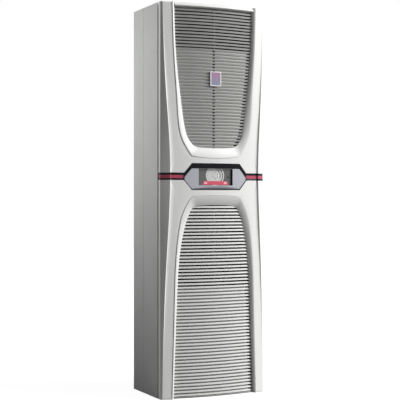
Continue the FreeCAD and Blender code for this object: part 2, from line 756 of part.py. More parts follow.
def hexagon(low=0.0, slant=None, top=None):
    """Six-sided outline of the display, drawn in by margins below, on the upper slants and at the top."""
    slant = low if slant is None else slant
    top = low if top is None else top
    wide = v.hex_half_wide
    run = wide - v.hex_half_narrow
    right = []
    lower = (v.hex_mid_low, v.hex_low, low, low)
    upper = (v.hex_mid_high, v.hex_high, top, slant)
    for shoulder, end, edge, side in (lower, upper):
        rise = abs(end - shoulder)
        way = (end - shoulder) / rise
        along = math.hypot(run, rise)
        corner = (wide - ((rise - edge) * run + side * along) / rise, end - way * edge)
        knee = (wide - low, shoulder - way * (side * along - low * rise) / run)
        right += [corner, knee] if way < 0 else [knee, corner]
    return right + [(-x, z) for x, z in reversed(right)]


def front_cover(insert, low, high):
    shell = crowned_shell(low, high, 0, v.cover_wall, v.cover_wall)
    rim = insert_wire(insert_points(f"{insert}_rim"), getattr(v, f"{insert}_rim_cap"))
    outer_end = v.height + END_OVERRUN if insert == "upper" else -END_OVERRUN
    slot_half = getattr(v, f"{insert}_rim_half_0")
    end_level = getattr(v, f"{insert}_rim_level_0")
    slot = prism(rectangle(slot_half, min(outer_end, end_level), max(outer_end, end_level)))
    shell = shell.cut([prism(rim), slot, prism(polygon(hexagon(-v.fit_gap)))] + frame_notches())
    pad_levels = (low + v.pad_inset, (low + high - v.pad_height) / 2, high - v.pad_inset - v.pad_height)
    shell = shell.fuse(seat_pads(pad_levels, v.cover_wall))
    piece(solid(f"{insert}_front_cover", shell.removeSplitter()))


def covers():
    gap = v.fit_gap / 2
    front_cover("upper", v.band_high + gap, v.height)
    front_cover("lower", 0, v.band_low - gap)


def bands():
    """Dark band on each side of the display, with a coloured stripe let into its face."""
    low = v.band_low + v.fit_gap / 2
    high = v.band_high - v.fit_gap / 2
    inset = v.band_set_back
    rear = cover_rear.number
    shell = crowned_shell(low, high, inset, v.cover_wall, 0)
    stripe = crowned_block(v.stripe_low, v.stripe_high, inset, rear)
    behind = inset + v.stripe_thick
    stripe = stripe.cut(crowned_block(v.stripe_low, v.stripe_high, behind, rear + CUT_THROUGH))
    display = prism(polygon(hexagon(-v.fit_gap)))
    pad_level = (low + high - v.pad_height) / 2
    shell = shell.cut([stripe, display]).fuse(seat_pads((pad_level,), inset + v.cover_wall))
    stripe = stripe.cut(display)
    for name, whole in (("side_band", shell), ("accent_stripe", stripe)):
        ordered = sorted(whole.Solids, key=lambda part: part.CenterOfMass.x)
        piece(solid(f"{name}_left", ordered[0]))
        piece(solid(f"{name}_right", ordered[-1]))


def badge_plate():
    face = v.crown_radius - v.louvre_depth
    plate = prism(rectangle(v.badge_half, v.badge_low, v.badge_high))
    piece(solid("badge_plate", plate.common(concentric(face + v.badge_thick)).cut(concentric(face))))


# Control display

def display():
    nose = -v.depth / 2
    surround_back = nose + v.surround_back
    bezel_back = nose + v.bezel_back
    gap = v.fit_gap / 2

    def window(margin):
        return polygon(hexagon(v.surround_low + margin, v.surround_slant + margin, v.surround_top + margin))

    surround = prism(polygon(hexagon()), PRISM_FRONT, surround_back).common(concentric(v.crown_radius))
    surround = surround.cut([prism(window(0), PRISM_FRONT, bezel_back), prism(window(v.ledge))])
    piece(solid("display_surround", surround))
    bezel = prism(window(gap), PRISM_FRONT, bezel_back).common(concentric(v.crown_radius - v.bezel_set_back))
    glass_back = concentric(v.crown_radius - v.lens_set_back - v.lens_thick)
    screen = prism(rectangle(v.screen_half, v.screen_low, v.screen_high))
    inner_screen = prism(rectangle(v.screen_half - v.lens_ledge, v.screen_low + v.lens_ledge,
                                   v.screen_high - v.lens_ledge))
    piece(solid("display_bezel", bezel.cut([screen.cut(glass_back), inner_screen, bezel_slope()])))
    lens = prism(rectangle(v.screen_half - gap, v.screen_low + gap, v.screen_high - gap))
    lens = lens.common(concentric(v.crown_radius - v.lens_set_back)).cut(glass_back)
    piece(solid("display_lens", lens))


def bezel_slope():
    """Wedge that slopes the lower edge of the bezel back under the screen."""
    face = v.bezel_set_back - v.depth / 2
    corners = [Vector(-v.hex_half_wide, y, z) for y, z in (
        (face, v.bezel_slope_high), (face + v.bezel_slope_depth, v.bezel_slope_low),
        (PRISM_FRONT, v.bezel_slope_low), (PRISM_FRONT, v.bezel_slope_high))]
    return Part.Face(Part.makePolygon(corners + corners[:1])).extrude(ALONG_X * 2 * v.hex_half_wide)


def display_electronics():
    nose = -back_face
    seat = nose + d.surround_back
    wall = d.frame_wall
    outer = box("bracket_block", span(d.bracket_half), (seat, frame_face), (d.bracket_low, d.bracket_high))
    inner_half_width = d.bracket_half - wall
    inner_z = (d.bracket_low + wall, d.bracket_high - wall)
    window = box("bracket_window", span(inner_half_width), (seat, frame_face), inner_z)
    piece(cut("display_bracket", outer, [window]))
    piece(box("display_board", span(inner_half_width), (seat, seat + d.board_thick), inner_z))
    piece(box("display_module", span(d.module_half), (nose + d.module_front, seat),
              (d.module_low, d.module_high)))


# Fans

BLADE_STEPS = 4


def impeller(name, wall_y, level):
    """Backward-swept radial wheel: hub can and disc, blades, then the shroud ring with its inlet collar."""
    body = doc.addObject("PartDesign::Body", name)
    disc_end = d.disc_at + d.disc_thick
    turn(body, f"{name}_hub", (
        (0, d.hub_top), (d.hub_radius, d.hub_top), (d.hub_radius, d.disc_at), (d.fan_radius, d.disc_at),
        (d.fan_radius, disc_end), (d.shaft_radius, disc_end), (d.shaft_radius, disc_end + d.shaft_length),
        (0, disc_end + d.shaft_length)))
    outline = []
    for offset, order in ((0, range(BLADE_STEPS)), (d.blade_thick, reversed(range(BLADE_STEPS)))):
        for step in order:
            share = step / (BLADE_STEPS - 1)
            radius = d.blade_root + (d.fan_radius - d.blade_tip_gap - d.blade_root) * share
            angle = math.radians(v.blade_start - v.blade_sweep * share ** v.blade_curl)
            outline.append((radius * math.cos(angle), radius * math.sin(angle) + offset))
    blade = pad(body, f"{name}_blade", "XY_Plane", outline, d.disc_at - d.shroud_at)
    blade.Profile[0].AttachmentOffset = Placement(Vector(0, 0, v.shroud_at), Rotation())
    blade.Profile[0].setExpression("AttachmentOffset.Base.z", d.shroud_at.formula)
    ring = body.newObject("PartDesign::PolarPattern", f"{name}_blades")
    ring.Originals = [blade]
    ring.Axis = (blade.Profile[0], ["N_Axis"])
    ring.Angle = 360
    bind(ring, Occurrences=d.blade_count)
    body.Tip = ring
    turn(body, f"{name}_shroud", (
        (d.eye_radius, d.fan_front), (d.eye_radius + d.fan_wall, d.fan_front),
        (d.eye_radius + d.fan_wall, d.shroud_at - d.fan_wall), (d.fan_radius, d.shroud_at - d.fan_wall),
        (d.fan_radius, d.shroud_at), (d.eye_radius, d.shroud_at)))
    piece(place(body, 0, wall_y, level, FRONT))


def inlet_ring(name, wall_y, level):
    """Bell-mouthed nozzle whose flange lies on the wall behind the wheel."""
    wall = d.fan_wall
    throat = d.nozzle_radius
    piece(turned(name, (
        (throat, d.nozzle_length), (throat + wall, d.nozzle_length), (throat + wall, d.nozzle_length / 2),
        (throat + 3 * wall, d.nozzle_length / 4), (d.wall_hole, wall), (d.ring_radius, wall),
        (d.ring_radius, 0), (d.wall_hole - wall, 0), (throat + 2 * wall, d.nozzle_length / 8),
        (throat, d.nozzle_length / 2)),
        0, wall_y, level, FRONT))


def fan_motor(name, wall_y, level, seat_depth):
    start = d.disc_at + d.disc_thick + d.motor_gap
    bore = d.shaft_radius + d.shaft_play
    bore_end = start + d.shaft_length
    flange = d.motor_radius + d.motor_flange
    piece(turned(name, (
        (bore, start), (d.motor_radius, start), (d.motor_radius, seat_depth - d.disc_thick),
        (flange, seat_depth - d.disc_thick), (flange, seat_depth),
        (0, seat_depth), (0, bore_end), (bore, bore_end)), 0, wall_y, level, FRONT))


def fan_plate():
    """Upright plate with the plenum floor folded forward from it and a hole for the inlet nozzle."""
    body = doc.addObject("PartDesign::Body", "fan_plate_sheet")
    front = fan_plate_front
    back = fan_plate_back
    lip = housing_front + d.sheet_wall
    floor_top = d.plenum_floor + d.sheet_wall
    pad(body, "fan_plate_fold", "YZ_Plane", (
        (back, d.plate_foot), (back, below_top), (front, below_top), (front, floor_top), (lip, floor_top),
        (lip, d.plenum_floor), (front, d.plenum_floor), (front, d.plate_foot)), 2 * inner_half)
    place(body, -inner_half, 0, 0)
    hole = rod("fan_plate_hole", d.wall_hole, d.sheet_wall, 0, front, d.outer_fan_level, BACK)
    piece(cut("fan_plate", body, [hole]))


def fan_bracket():
    """Flat strap in front of the outer fan on two arms from the fan plate."""
    level = d.outer_fan_level
    strap_back = fan_plate_front - d.fan_bracket_depth
    z = (level - d.fan_bracket_half, level + d.fan_bracket_half)
    arm_out = d.fan_arm_at + d.fan_wall
    strap = box("bracket_strap", span(arm_out), (strap_back - d.fan_wall, strap_back), z)
    arms = []
    for side in (-1, 1):
        ends = (d.fan_arm_at, arm_out) if side > 0 else (-arm_out, -d.fan_arm_at)
        arms.append(box(f"bracket_arm_{side + 1}", ends, (strap_back, fan_plate_front), z))
    piece(fuse("external_fan_bracket", [strap] + arms))


def fans():
    fan_plate()
    fan_bracket()
    inlet_ring("external_fan_inlet_ring", fan_plate_front, d.outer_fan_level)
    impeller("external_fan_impeller", fan_plate_front, d.outer_fan_level)
    fan_motor("external_fan_motor", fan_plate_front, d.outer_fan_level, d.fan_bracket_depth)
    inlet_ring("internal_fan_inlet_ring", back_inside, d.inner_fan_level)
    impeller("internal_fan_impeller", back_inside, d.inner_fan_level)
    fan_motor("internal_fan_motor", back_inside, d.inner_fan_level, back_inside - divider_back)


# Refrigerant circuit

def pipe(name, points, radius, bend):
    """Round bar along straight runs joined by tangent arcs."""
    edges = []
    start = points[0]
    for before, corner, after in zip(points, points[1:], points[2:]):
        toward = (before - corner).normalize()
        away = (after - corner).normalize()
        first = corner + toward * bend
        last = corner + away * bend
        middle = corner + (toward + away) * bend * (1 - DIAGONAL)
        if (first - start).Length > 1e-6:
            edges.append(Part.makeLine(start, first))
        edges.append(Part.Arc(first, middle, last).toShape())
        start = last
    if (points[-1] - start).Length > 1e-6:
        edges.append(Part.makeLine(start, points[-1]))
    path = Part.Wire(edges)
    ring = Part.Wire(Part.makeCircle(radius, points[0], points[1] - points[0]))
    return solid(name, path.makePipeShell([ring], True, False))


def run_levels(prefix):
    """Heights of the tube runs, centred in the block."""
    runs = int(getattr(v, f"{prefix}_runs"))
    pitch = getattr(v, f"{prefix}_pitch")
    middle = (getattr(v, f"{prefix}_low") + getattr(v, f"{prefix}_high")) / 2
    return [middle + (index - (runs - 1) / 2) * pitch for index in range(runs)]


def coil_y(prefix):
    return (getattr(v, f"{prefix}_front") + getattr(v, f"{prefix}_back")) / 2


def coil_end(prefix):
    return getattr(v, f"{prefix}_half") + v.end_plate


def coil(prefix, first_side):
    """One serpentine tube whose bends show outside the end plates."""
    y = coil_y(prefix)
    levels = run_levels(prefix)
    bend = getattr(v, f"{prefix}_pitch") / 2
    reach = coil_end(prefix) + bend
    tail = coil_end(prefix) + v.end_plate
    points = [Vector(first_side * tail, y, levels[0])]
    side = -first_side
    for low, high in zip(levels, levels[1:]):
        points += [Vector(side * reach, y, low), Vector(side * reach, y, high)]
        side = -side
    points.append(Vector(side * tail, y, levels[-1]))
    piece(pipe(f"{prefix}_coil", points, v.tube_radius, bend))


def fin_block(prefix, faces):
    """Fin pack bored for the tube runs and slotted from two faces between its fins."""
    half = getattr(d, f"{prefix}_half")
    y = (getattr(d, f"{prefix}_front"), getattr(d, f"{prefix}_back"))
    z = (getattr(d, f"{prefix}_low"), getattr(d, f"{prefix}_high"))
    block = box(f"{prefix}_block", span(half), y, z)
    bore = d.tube_radius + d.tube_play
    bores = [rod(f"{prefix}_bore_{index}", bore, 2 * half, -half, coil_y(prefix), level, ALONG_X)
             for index, level in enumerate(run_levels(prefix))]
    slots = []
    count = int(2 * half.number // v.fin_pitch)
    for index in range(count):
        left = (index - (count - 1) / 2) * d.fin_pitch - d.fin_slot / 2
        x = (left, left + d.fin_slot)
        for end in (0, 1):
            depth = d.fin_depth if end == 0 else -d.fin_depth
            limits = {"y": y, "z": z}
            edge = limits[faces][end]
            limits[faces] = (edge, edge + depth) if end == 0 else (edge + depth, edge)
            slots.append(box(f"{prefix}_slot_{index}_{end}", x, limits["y"], limits["z"]))
    piece(cut(f"{prefix}_fins", block, [group(f"{prefix}_slots", slots)] + bores))


def end_plates(prefix, front, back):
    half = getattr(d, f"{prefix}_half")
    z = (getattr(d, f"{prefix}_low") - d.plate_lap, getattr(d, f"{prefix}_high") + d.plate_lap)
    plates = []
    for side in (-1, 1):
        x = (half, half + d.end_plate) if side > 0 else (-half - d.end_plate, -half)
        sheet_metal = box(f"{prefix}_plate_{side + 1}", x, (front, back), z)
        holes = [rod(f"{prefix}_plate_hole_{side + 1}_{index}", d.tube_radius + d.tube_play, d.end_plate,
                     x[0], coil_y(prefix), level, ALONG_X)
                 for index, level in enumerate(run_levels(prefix))]
        plates.append(cut(f"{prefix}_end_{side + 1}", sheet_metal, holes))
    piece(group(f"{prefix}_end_plates", plates))


def heat_exchangers():
    fin_block("condenser", "y")
    end_plates("condenser", d.condenser_front - d.plate_front_lip, divider_front)
    coil("condenser", 1)
    fin_block("evaporator", "z")
    end_plates("evaporator", divider_back, d.evaporator_back + d.plate_back_lip)
    coil("evaporator", 1)


FOOT_COUNT = 3


def compressor():
    x = d.compressor_x
    y = d.compressor_y
    base = d.compressor_base
    top = base + d.compressor_high
    radius = d.compressor_radius
    shoulder = d.compressor_shoulder
    piece(turned("compressor", (
        (0, 0), (radius - shoulder, 0), (radius, shoulder), (radius, d.compressor_high - shoulder),
        (radius - shoulder, d.compressor_high), (0, d.compressor_high)), x, y, base))
    plate_low = base - d.foot_plate_thick
    floor_top = d.sheet_wall + d.base_plate_thick
    feet = []
    nuts = []
    tall = plate_low - floor_top
    for index in range(FOOT_COUNT):
        angle = math.radians(v.foot_turn + 360 * index / FOOT_COUNT)
        foot_x = x + d.foot_circle * math.cos(angle)
        foot_y = y + d.foot_circle * math.sin(angle)
        feet.append(rod(f"rubber_foot_{index}", d.foot_radius, tall, foot_x, foot_y, floor_top))
        nuts.append(rod(f"foot_nut_{index}", d.foot_nut_radius, d.foot_nut_high, foot_x, foot_y, base))
    piece(rod("compressor_foot_plate", d.foot_plate_radius, d.foot_plate_thick, x, y, plate_low))
    piece(group("compressor_feet", feet))
    nut_clear = rod("nut_clear", radius, d.foot_nut_high, x, y, base)
    piece(cut("compressor_foot_nuts", group("foot_nut_blanks", nuts), [nut_clear]))
    piece(rod("terminal_cover", d.terminal_radius, d.terminal_high, x, y, top))
    can = d.accumulator_radius
    can_high = d.accumulator_high - d.accumulator_low
    piece(turned("accumulator", (
        (0, 0), (can / 2, 0), (can, can / 2), (can, can_high - can / 2), (can / 2, can_high), (0, can_high)),
        d.accumulator_x, y, d.accumulator_low))


def refrigerant_pipes():
    bend = v.pipe_bend
    radius = v.tube_radius
    x = v.compressor_x
    y = v.compressor_y
    outlet_x = x + v.discharge_offset
    cap = v.compressor_base + v.compressor_high
    condenser_y = coil_y("condenser")
    condenser_levels = run_levels("condenser")
    tail = coil_end("condenser") + v.end_plate
    far = -v.side_pipe_x
    piece(pipe("discharge_pipe", [
        Vector(outlet_x, y, cap), Vector(outlet_x, y, v.discharge_level), Vector(far, y, v.discharge_level),
        Vector(far, y, condenser_levels[-1]), Vector(far, condenser_y, condenser_levels[-1]),
        Vector(-tail, condenser_y, condenser_levels[-1])], radius, bend))
    elbow = pipe("suction_elbow", [
        Vector(v.accumulator_x, y, v.accumulator_low), Vector(v.accumulator_x, y, v.elbow_low),
        Vector(x + v.compressor_radius, y, v.elbow_low)], radius, bend)
    condenser_outlet = pipe("condenser_outlet", [
        Vector(tail, condenser_y, condenser_levels[0]), Vector(v.liquid_x, condenser_y, condenser_levels[0]),
        Vector(v.liquid_x, v.liquid_y, condenser_levels[0]),
        Vector(v.liquid_x, v.liquid_y, v.drier_low)], radius, bend)
    line = (d.liquid_x, d.liquid_y)
    piece(rod("filter_drier", d.drier_radius, d.drier_high - d.drier_low, *line, d.drier_low))
    valve_feed = rod("valve_feed", d.tube_radius, d.valve_low - d.drier_high, *line, d.drier_high)
    piece(group("liquid_pipes", [condenser_outlet, valve_feed]))
    piece(rod("expansion_valve", d.valve_radius, d.valve_high - d.valve_low, *line, d.valve_low))
    evaporator_y = coil_y("evaporator")
    evaporator_tail = coil_end("evaporator") + v.end_plate
    evaporator_levels = run_levels("evaporator")
    piece(pipe("injection_pipe", [
        Vector(v.liquid_x, v.liquid_y, v.valve_high), Vector(v.liquid_x, v.liquid_y, evaporator_levels[0]),
        Vector(v.liquid_x, evaporator_y, evaporator_levels[0]),
        Vector(evaporator_tail, evaporator_y, evaporator_levels[0])], radius, bend))
    suction_line = pipe("suction_line", [
        Vector(-evaporator_tail, evaporator_y, evaporator_levels[-1]),
        Vector(far, evaporator_y, evaporator_levels[-1]),
        Vector(far, v.suction_y, evaporator_levels[-1]), Vector(far, v.suction_y, v.suction_level),
        Vector(v.accumulator_x, v.suction_y, v.suction_level), Vector(v.accumulator_x, y, v.suction_level),
        Vector(v.accumulator_x, y, v.accumulator_high)], radius, bend)
    piece(group("suction_pipes", [suction_line, elbow]))


# Base, condensate drain, electronics and rear fittings

def base_and_drain():
    wall = d.sheet_wall
    inset = d.base_plate_inset
    piece(box("base_plate", span(d.base_plate_half), (housing_front + inset, divider_front - inset),
              (wall, wall + d.base_plate_thick)))
    y = (d.tray_front, d.tray_back)
    tray = box("tray_block", span(d.tray_half), y, (d.tray_low, d.tray_high))
    hollow = box("tray_hollow", span(d.tray_half - wall), (d.tray_front + wall, d.tray_back - wall),
                 (d.tray_low + wall, d.tray_high))
    drain = rod("tray_drain", d.drain_radius, wall, d.drain_x, d.drain_y, d.tray_low)
    feet = []
    for side in (-1, 1):
        inner = d.tray_half - d.tray_foot
        x = (inner, d.tray_half) if side > 0 else (-d.tray_half, -inner)
        feet.append(box(f"tray_foot_{side + 1}", x, y, (wall, d.tray_low)))
    piece(fuse("condensate_tray", [cut("tray_pan", tray, [hollow, drain])] + feet))
    tall = d.tray_low + wall
    spout = rod("spout_body", d.drain_radius, tall, d.drain_x, d.drain_y, 0)
    piece(cut("drain_spout", spout, [rod("spout_bore", d.drain_bore, tall, d.drain_x, d.drain_y, 0)]))


def inverter():
    wall = d.inverter_wall
    back = fan_plate_front
    front = back - d.inverter_depth
    z = (d.inverter_low, d.inverter_high)
    inner_z = (z[0] + wall, z[1] - wall)
    case = box("inverter_block", span(d.inverter_half), (front, back), z)
    hollow = box("inverter_hollow", span(d.inverter_half - wall), (front, back - wall), inner_z)
    piece(cut("inverter_box", case, [hollow]))
    piece(box("inverter_lid", span(d.inverter_half), (front - wall, front), z))
    board_back = back - wall
    piece(box("inverter_board", span(d.inverter_board), (board_back - d.board_thick, board_back), inner_z))
    body = doc.addObject("PartDesign::Body", "inverter_heat_sink")
    tall = z[1] - z[0]
    sink_base = d.sink_base
    pad(body, "sink_base_pad", "XY_Plane", (
        (0, 0), (2 * d.sink_half, 0), (2 * d.sink_half, sink_base), (0, sink_base)), tall)
    fin = pad(body, "sink_fin_pad", "XY_Plane", (
        (0, sink_base), (d.sink_fin, sink_base), (d.sink_fin, d.sink_reach), (0, d.sink_reach)), tall)
    rows = body.newObject("PartDesign::LinearPattern", "sink_fins")
    rows.Originals = [fin]
    rows.Direction = (fin.Profile[0], ["H_Axis"])
    bind(rows, Length=2 * d.sink_half - d.sink_fin, Occurrences=d.sink_count)
    body.Tip = rows
    piece(place(body, -d.sink_half, fan_plate_back, z[0]))


def rear_sockets():
    """Plug-in sockets let into the back wall, each with a lip behind the sheet."""
    lip = d.plug_lip
    for name, left in (("power_socket", d.power_left), ("signal_socket", d.signal_left)):
        x = (left, left + d.plug_width)
        z = (d.socket_low, d.socket_high)
        nose = box(f"{name}_nose", x, (back_inside, back_face), z)
        shell = box(f"{name}_shell", (x[0] - lip, x[1] + lip), (back_inside - d.plug_depth, back_inside),
                    (z[0] - lip, z[1] + lip))
        cup = box(f"{name}_cup", (x[0] + lip, x[1] - lip), (back_face - d.plug_depth / 2, back_face),
                  (z[0] + lip, z[1] - lip))
        piece(cut(name, fuse(f"{name}_blank", [nose, shell]), [cup]))


def threaded_inserts():
    nuts = []
    for index, (x, z) in enumerate(nut_spots):
        start = back_face - d.nut_length
        body = rod(f"nut_body_{index}", d.nut_body, d.nut_length, x, start, z, BACK)
        collar = rod(f"nut_collar_{index}", d.nut_collar, d.nut_length - d.sheet_wall, x, start, z, BACK)
        bore = rod(f"nut_bore_{index}", d.nut_bore, d.nut_length, x, start, z, BACK)
        nuts.append(cut(f"nut_{index}", fuse(f"nut_blank_{index}", [body, collar]), [bore]))
    piece(group("rivet_nuts", nuts))
    lifts = []
    for side in (-1, 1):
        x = side * d.lift_half_span
        start = d.height - d.lift_length
        body = rod(f"lift_body_{side + 1}", d.lift_body, d.lift_length, x, lift_y, start)
        collar = rod(f"lift_collar_{side + 1}", d.lift_collar, d.lift_length - d.sheet_wall, x, lift_y, start)
        bore = rod(f"lift_bore_{side + 1}", d.lift_bore, d.lift_length, x, lift_y, start)
        lifts.append(cut(f"lift_{side + 1}", fuse(f"lift_blank_{side + 1}", [body, collar]), [bore]))
    piece(group("lifting_inserts", lifts))


def check_and_export():
    doc.recompute()
    for item in doc.Objects:
        if "Invalid" in item.State or "Error" in item.State:
            raise RuntimeError(f"{item.Label} failed: {item.State}")
    os.makedirs("parts", exist_ok=True)
    for item in PIECES:
        if item.Shape.isNull() or not item.Shape.isValid() or not item.Shape.Solids:
            raise RuntimeError(f"{item.Label} has no valid solid")
    for item in PIECES:
        item.Shape.exportStep(f"parts/{item.Label}.step")
        print(item.Label, len(item.Shape.Solids), round(item.Shape.Volume))


rear_housing()
front_housing()
front_frame()
frame_screws()
housing_gasket()
divider_panel()
pipe_grommets()
covers()
grille("upper")
grille("lower")
stud_sockets()
bands()
badge_plate()
display()
display_electronics()
fans()
heat_exchangers()
compressor()
refrigerant_pipes()
base_and_drain()
inverter()
rear_sockets()
threaded_inserts()
check_and_export()
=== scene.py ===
"""Looks of a wall-mounted enclosure cooling unit, built round its fixed CAD frame, in metres."""

import json
import math

import bpy
import numpy as np
from bpy.props import FloatProperty, FloatVectorProperty, IntProperty, PointerProperty
from bpy.types import Operator, Panel, PropertyGroup
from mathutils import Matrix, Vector


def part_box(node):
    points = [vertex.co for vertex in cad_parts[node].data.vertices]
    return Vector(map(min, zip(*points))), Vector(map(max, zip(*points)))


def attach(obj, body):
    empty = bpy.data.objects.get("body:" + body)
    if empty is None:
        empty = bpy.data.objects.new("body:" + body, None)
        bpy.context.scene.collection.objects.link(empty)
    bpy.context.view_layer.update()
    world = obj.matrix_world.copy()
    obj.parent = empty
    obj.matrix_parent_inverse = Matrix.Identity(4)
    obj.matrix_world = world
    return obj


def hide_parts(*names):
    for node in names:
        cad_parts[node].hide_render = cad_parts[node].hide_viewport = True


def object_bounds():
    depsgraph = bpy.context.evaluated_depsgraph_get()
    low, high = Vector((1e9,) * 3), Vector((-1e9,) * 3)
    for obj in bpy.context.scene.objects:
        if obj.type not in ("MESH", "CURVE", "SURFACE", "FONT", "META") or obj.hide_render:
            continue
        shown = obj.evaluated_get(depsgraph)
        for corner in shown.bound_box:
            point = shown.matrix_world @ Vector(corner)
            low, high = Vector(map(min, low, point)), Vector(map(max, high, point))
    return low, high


bl_info = {
    "name": "Enclosure Cooling Unit",
    "version": (1, 0, 0),
    "blender": (4, 5, 0),
    "location": "View3D > Sidebar > Cooling Unit",
    "description": "Builds the mouldings, louvres, display and finishes of a wall-mounted cooling unit",
    "category": "Object",
}

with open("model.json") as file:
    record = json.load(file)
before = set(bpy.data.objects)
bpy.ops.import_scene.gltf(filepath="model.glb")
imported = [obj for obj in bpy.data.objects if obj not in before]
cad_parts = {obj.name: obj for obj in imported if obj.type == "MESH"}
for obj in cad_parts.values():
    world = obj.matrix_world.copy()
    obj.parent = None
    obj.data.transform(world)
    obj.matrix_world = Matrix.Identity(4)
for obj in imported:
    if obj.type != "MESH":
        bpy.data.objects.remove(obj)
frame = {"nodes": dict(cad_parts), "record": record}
CAD_LOW, CAD_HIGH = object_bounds()
MM = 0.001
# Direction in which the unit looks
FRONT = (0, -1, 0)
INSERTS = ("upper", "lower")

# Half width and level, in millimetres, of the points that shape each louvre insert, from its outer end
OUTLINES = {
    "upper_rim": ((182.5, 1535), (175.3, 1319), (164.5, 1161), (156.5, 1058), (147.5, 1016), (105.4, 940)),
    "upper_throat": ((170.8, 1535), (161.6, 1319), (144, 1162), (129, 1056), (112.5, 1004.5), (90, 976)),
    "lower_rim": ((183, 0), (174, 377), (156, 651), (148.5, 691), (129, 744), (105, 782)),
    "lower_throat": ((173.5, 0), (159, 376.5), (133, 643.6), (125, 675), (108.7, 718), (92.4, 745)),
}
# Level, in millimetres, at which each outline crosses the middle
CAPS = {"upper_rim": 931, "upper_throat": 972, "lower_rim": 787, "lower_throat": 749}
# Level, in millimetres, of the edge of each insert's end rail that faces the slats
RAIL_EDGES = {"upper": 1519, "lower": 6}
# Half width and level, in millimetres, of the snap studs
STUDS = {"upper": ((174, 1485), (111, 986)), "lower": ((174.5, 50), (116, 736))}

# Arcs of the dial: two radii as shares of the dial's, first and last angle in half turns from its top
DIAL_ARCS = ((0.77, 0.87, 0.16, 0.78), (0.52, 0.61, 0.12, 0.66))
# Strokes and dots of the dial: two radii, half a mark's angle, first and last place in half turns, how many
# marks, steps of one mark
DIAL_RINGS = ((0.80, 0.88, 0.03, -0.75, -0.15, 6, 3), (0.24, 0.33, 0.16, 0, 5 / 3, 6, 5))
# Line round the dial, and sides and half height of the bar beside its middle, as shares of its radius
DIAL_LINE = (0.93, 0.98)
DIAL_BAR = (0.30, 0.42, 0.2)

# Rows, columns and steps of the grids
SIDE_ROWS = 72
FLANK_ROWS = 8
CORNER_ROWS = 7
CAP_ROWS = 24
CROWN_STEPS = 6
LIP_STEPS = 6
ROUND_STEPS = 5
BEVEL_STEPS = 10
SPLINE_SAMPLES = 240
ARC_SAMPLES = 120
SLAT_STATIONS = 33
RAIL_STATIONS = 41
RIB_STATIONS = 3
TOP_STEPS = 9
STUD_SIDES = 12
BACKING_ROWS = 60
BACKING_COLUMNS = 15
EDGE_STEPS = 14
BEZEL_COLUMNS = 26
RECESS_COLUMNS = 4
DIAL_TURNS = 97
DIAL_ROWS = 9
ARC_TURNS = 49
ARC_ROWS = 3
BADGE_STEPS = 8
FLOOR_LINES = 5

# Columns and rows of the patches
GLASS_GRID = (33, 9)
BAR_GRID = (33, 5)
SPOT_GRID = (7, 3)
KEY_GRID = (4, 3)
DIAL_BAR_GRID = (3, 3)
BADGE_GRID = (9, 9)

# Angle from which an edge is shaded sharp
SHARP_ANGLE = math.radians(32)
# Step to which points are rounded before equal ones are merged
WELD_STEP = 1e-6
# Length that stands in for that of an edge with none
SHORTEST = 1e-9
# Largest share of an edge that the rounding of one of its corners takes up
ROUND_SHARE = 0.45
# Lowest and highest power by which a bevel turns down
BEVEL_POWERS = (2, 8)


# Settings

def number(title, text, default, **kind):
    """A plain number, or one with the unit or subtype that it is given."""
    return FloatProperty(name=title, description=text, default=default, **kind)


def length(title, text, default):
    """A length in metres."""
    return number(title, text, default, unit="LENGTH", precision=4)


def angle(title, text, degrees):
    """An angle, given in degrees and kept in radians."""
    return number(title, text, math.radians(degrees), subtype="ANGLE")


def count(title, text, default):
    """A whole number of one or more."""
    return IntProperty(name=title, description=text, default=default, min=1)


def colour(title, text, default):
    """A colour in linear light."""
    return FloatVectorProperty(name=title, description=text, default=default, subtype="COLOR", size=3,
                               min=0, max=1)


def point(title, text, default):
    """A place in metres."""
    return FloatVectorProperty(name=title, description=text, default=default, subtype="TRANSLATION",
                               unit="LENGTH", size=3)


class FrontShape(PropertyGroup):
    """Crowned front and the waisted crease of its side facets."""

    crown_radius: length("Crown Radius", "Radius of the front in plan", 0.915)
    crease_waist: length("Waist", "Half width of the crease at its waist", 0.1915)
    crease_spread: length("Spread", "How far the crease moves out towards the ends", 0.036)
    waist_level: length("Waist Level", "Height of the waist", 0.886)
    reach_up: length("Reach Up", "Height over which the crease spreads above the waist", 0.352)
    reach_down: length("Reach Down", "Height over which the crease spreads below the waist", 0.450)
    side_depth: length("Side Depth", "Depth of the upright side wall behind the facet", 0.017)
    crease_round: length("Crease Round", "Length of the rounding on each side of the crease", 0.0006)
    lip_width: length("Lip Width", "Width of the lip raised along the crease", 0.0068)
    lip_height: length("Lip Height", "Rise of that lip at the crease", 0.0066)
    lip_full: number("Lip Full", "Share of the spread up to which the lip has its height", 0.20)
    lip_gone: number("Lip Gone", "Share of the spread at which the lip has died out", 0.77)
    edge_round: length("Edge Round", "Rounding of the moulded edges", 0.0014)
    rim_round: length("Rim Round", "Rounding of the covers along the inserts", 0.0011)
    end_round: length("End Round", "Rounding of the covers along the top and the bottom", 0.0035)
    wall: length("Wall", "Thickness of the moulded walls", 0.0025)
    waist_gap: length("Waist Gap", "Gap between the covers and the waist bands", 0.00025)
    band_set_back: length("Band Set Back", "How far the waist bands lie behind the covers", 0.0012)


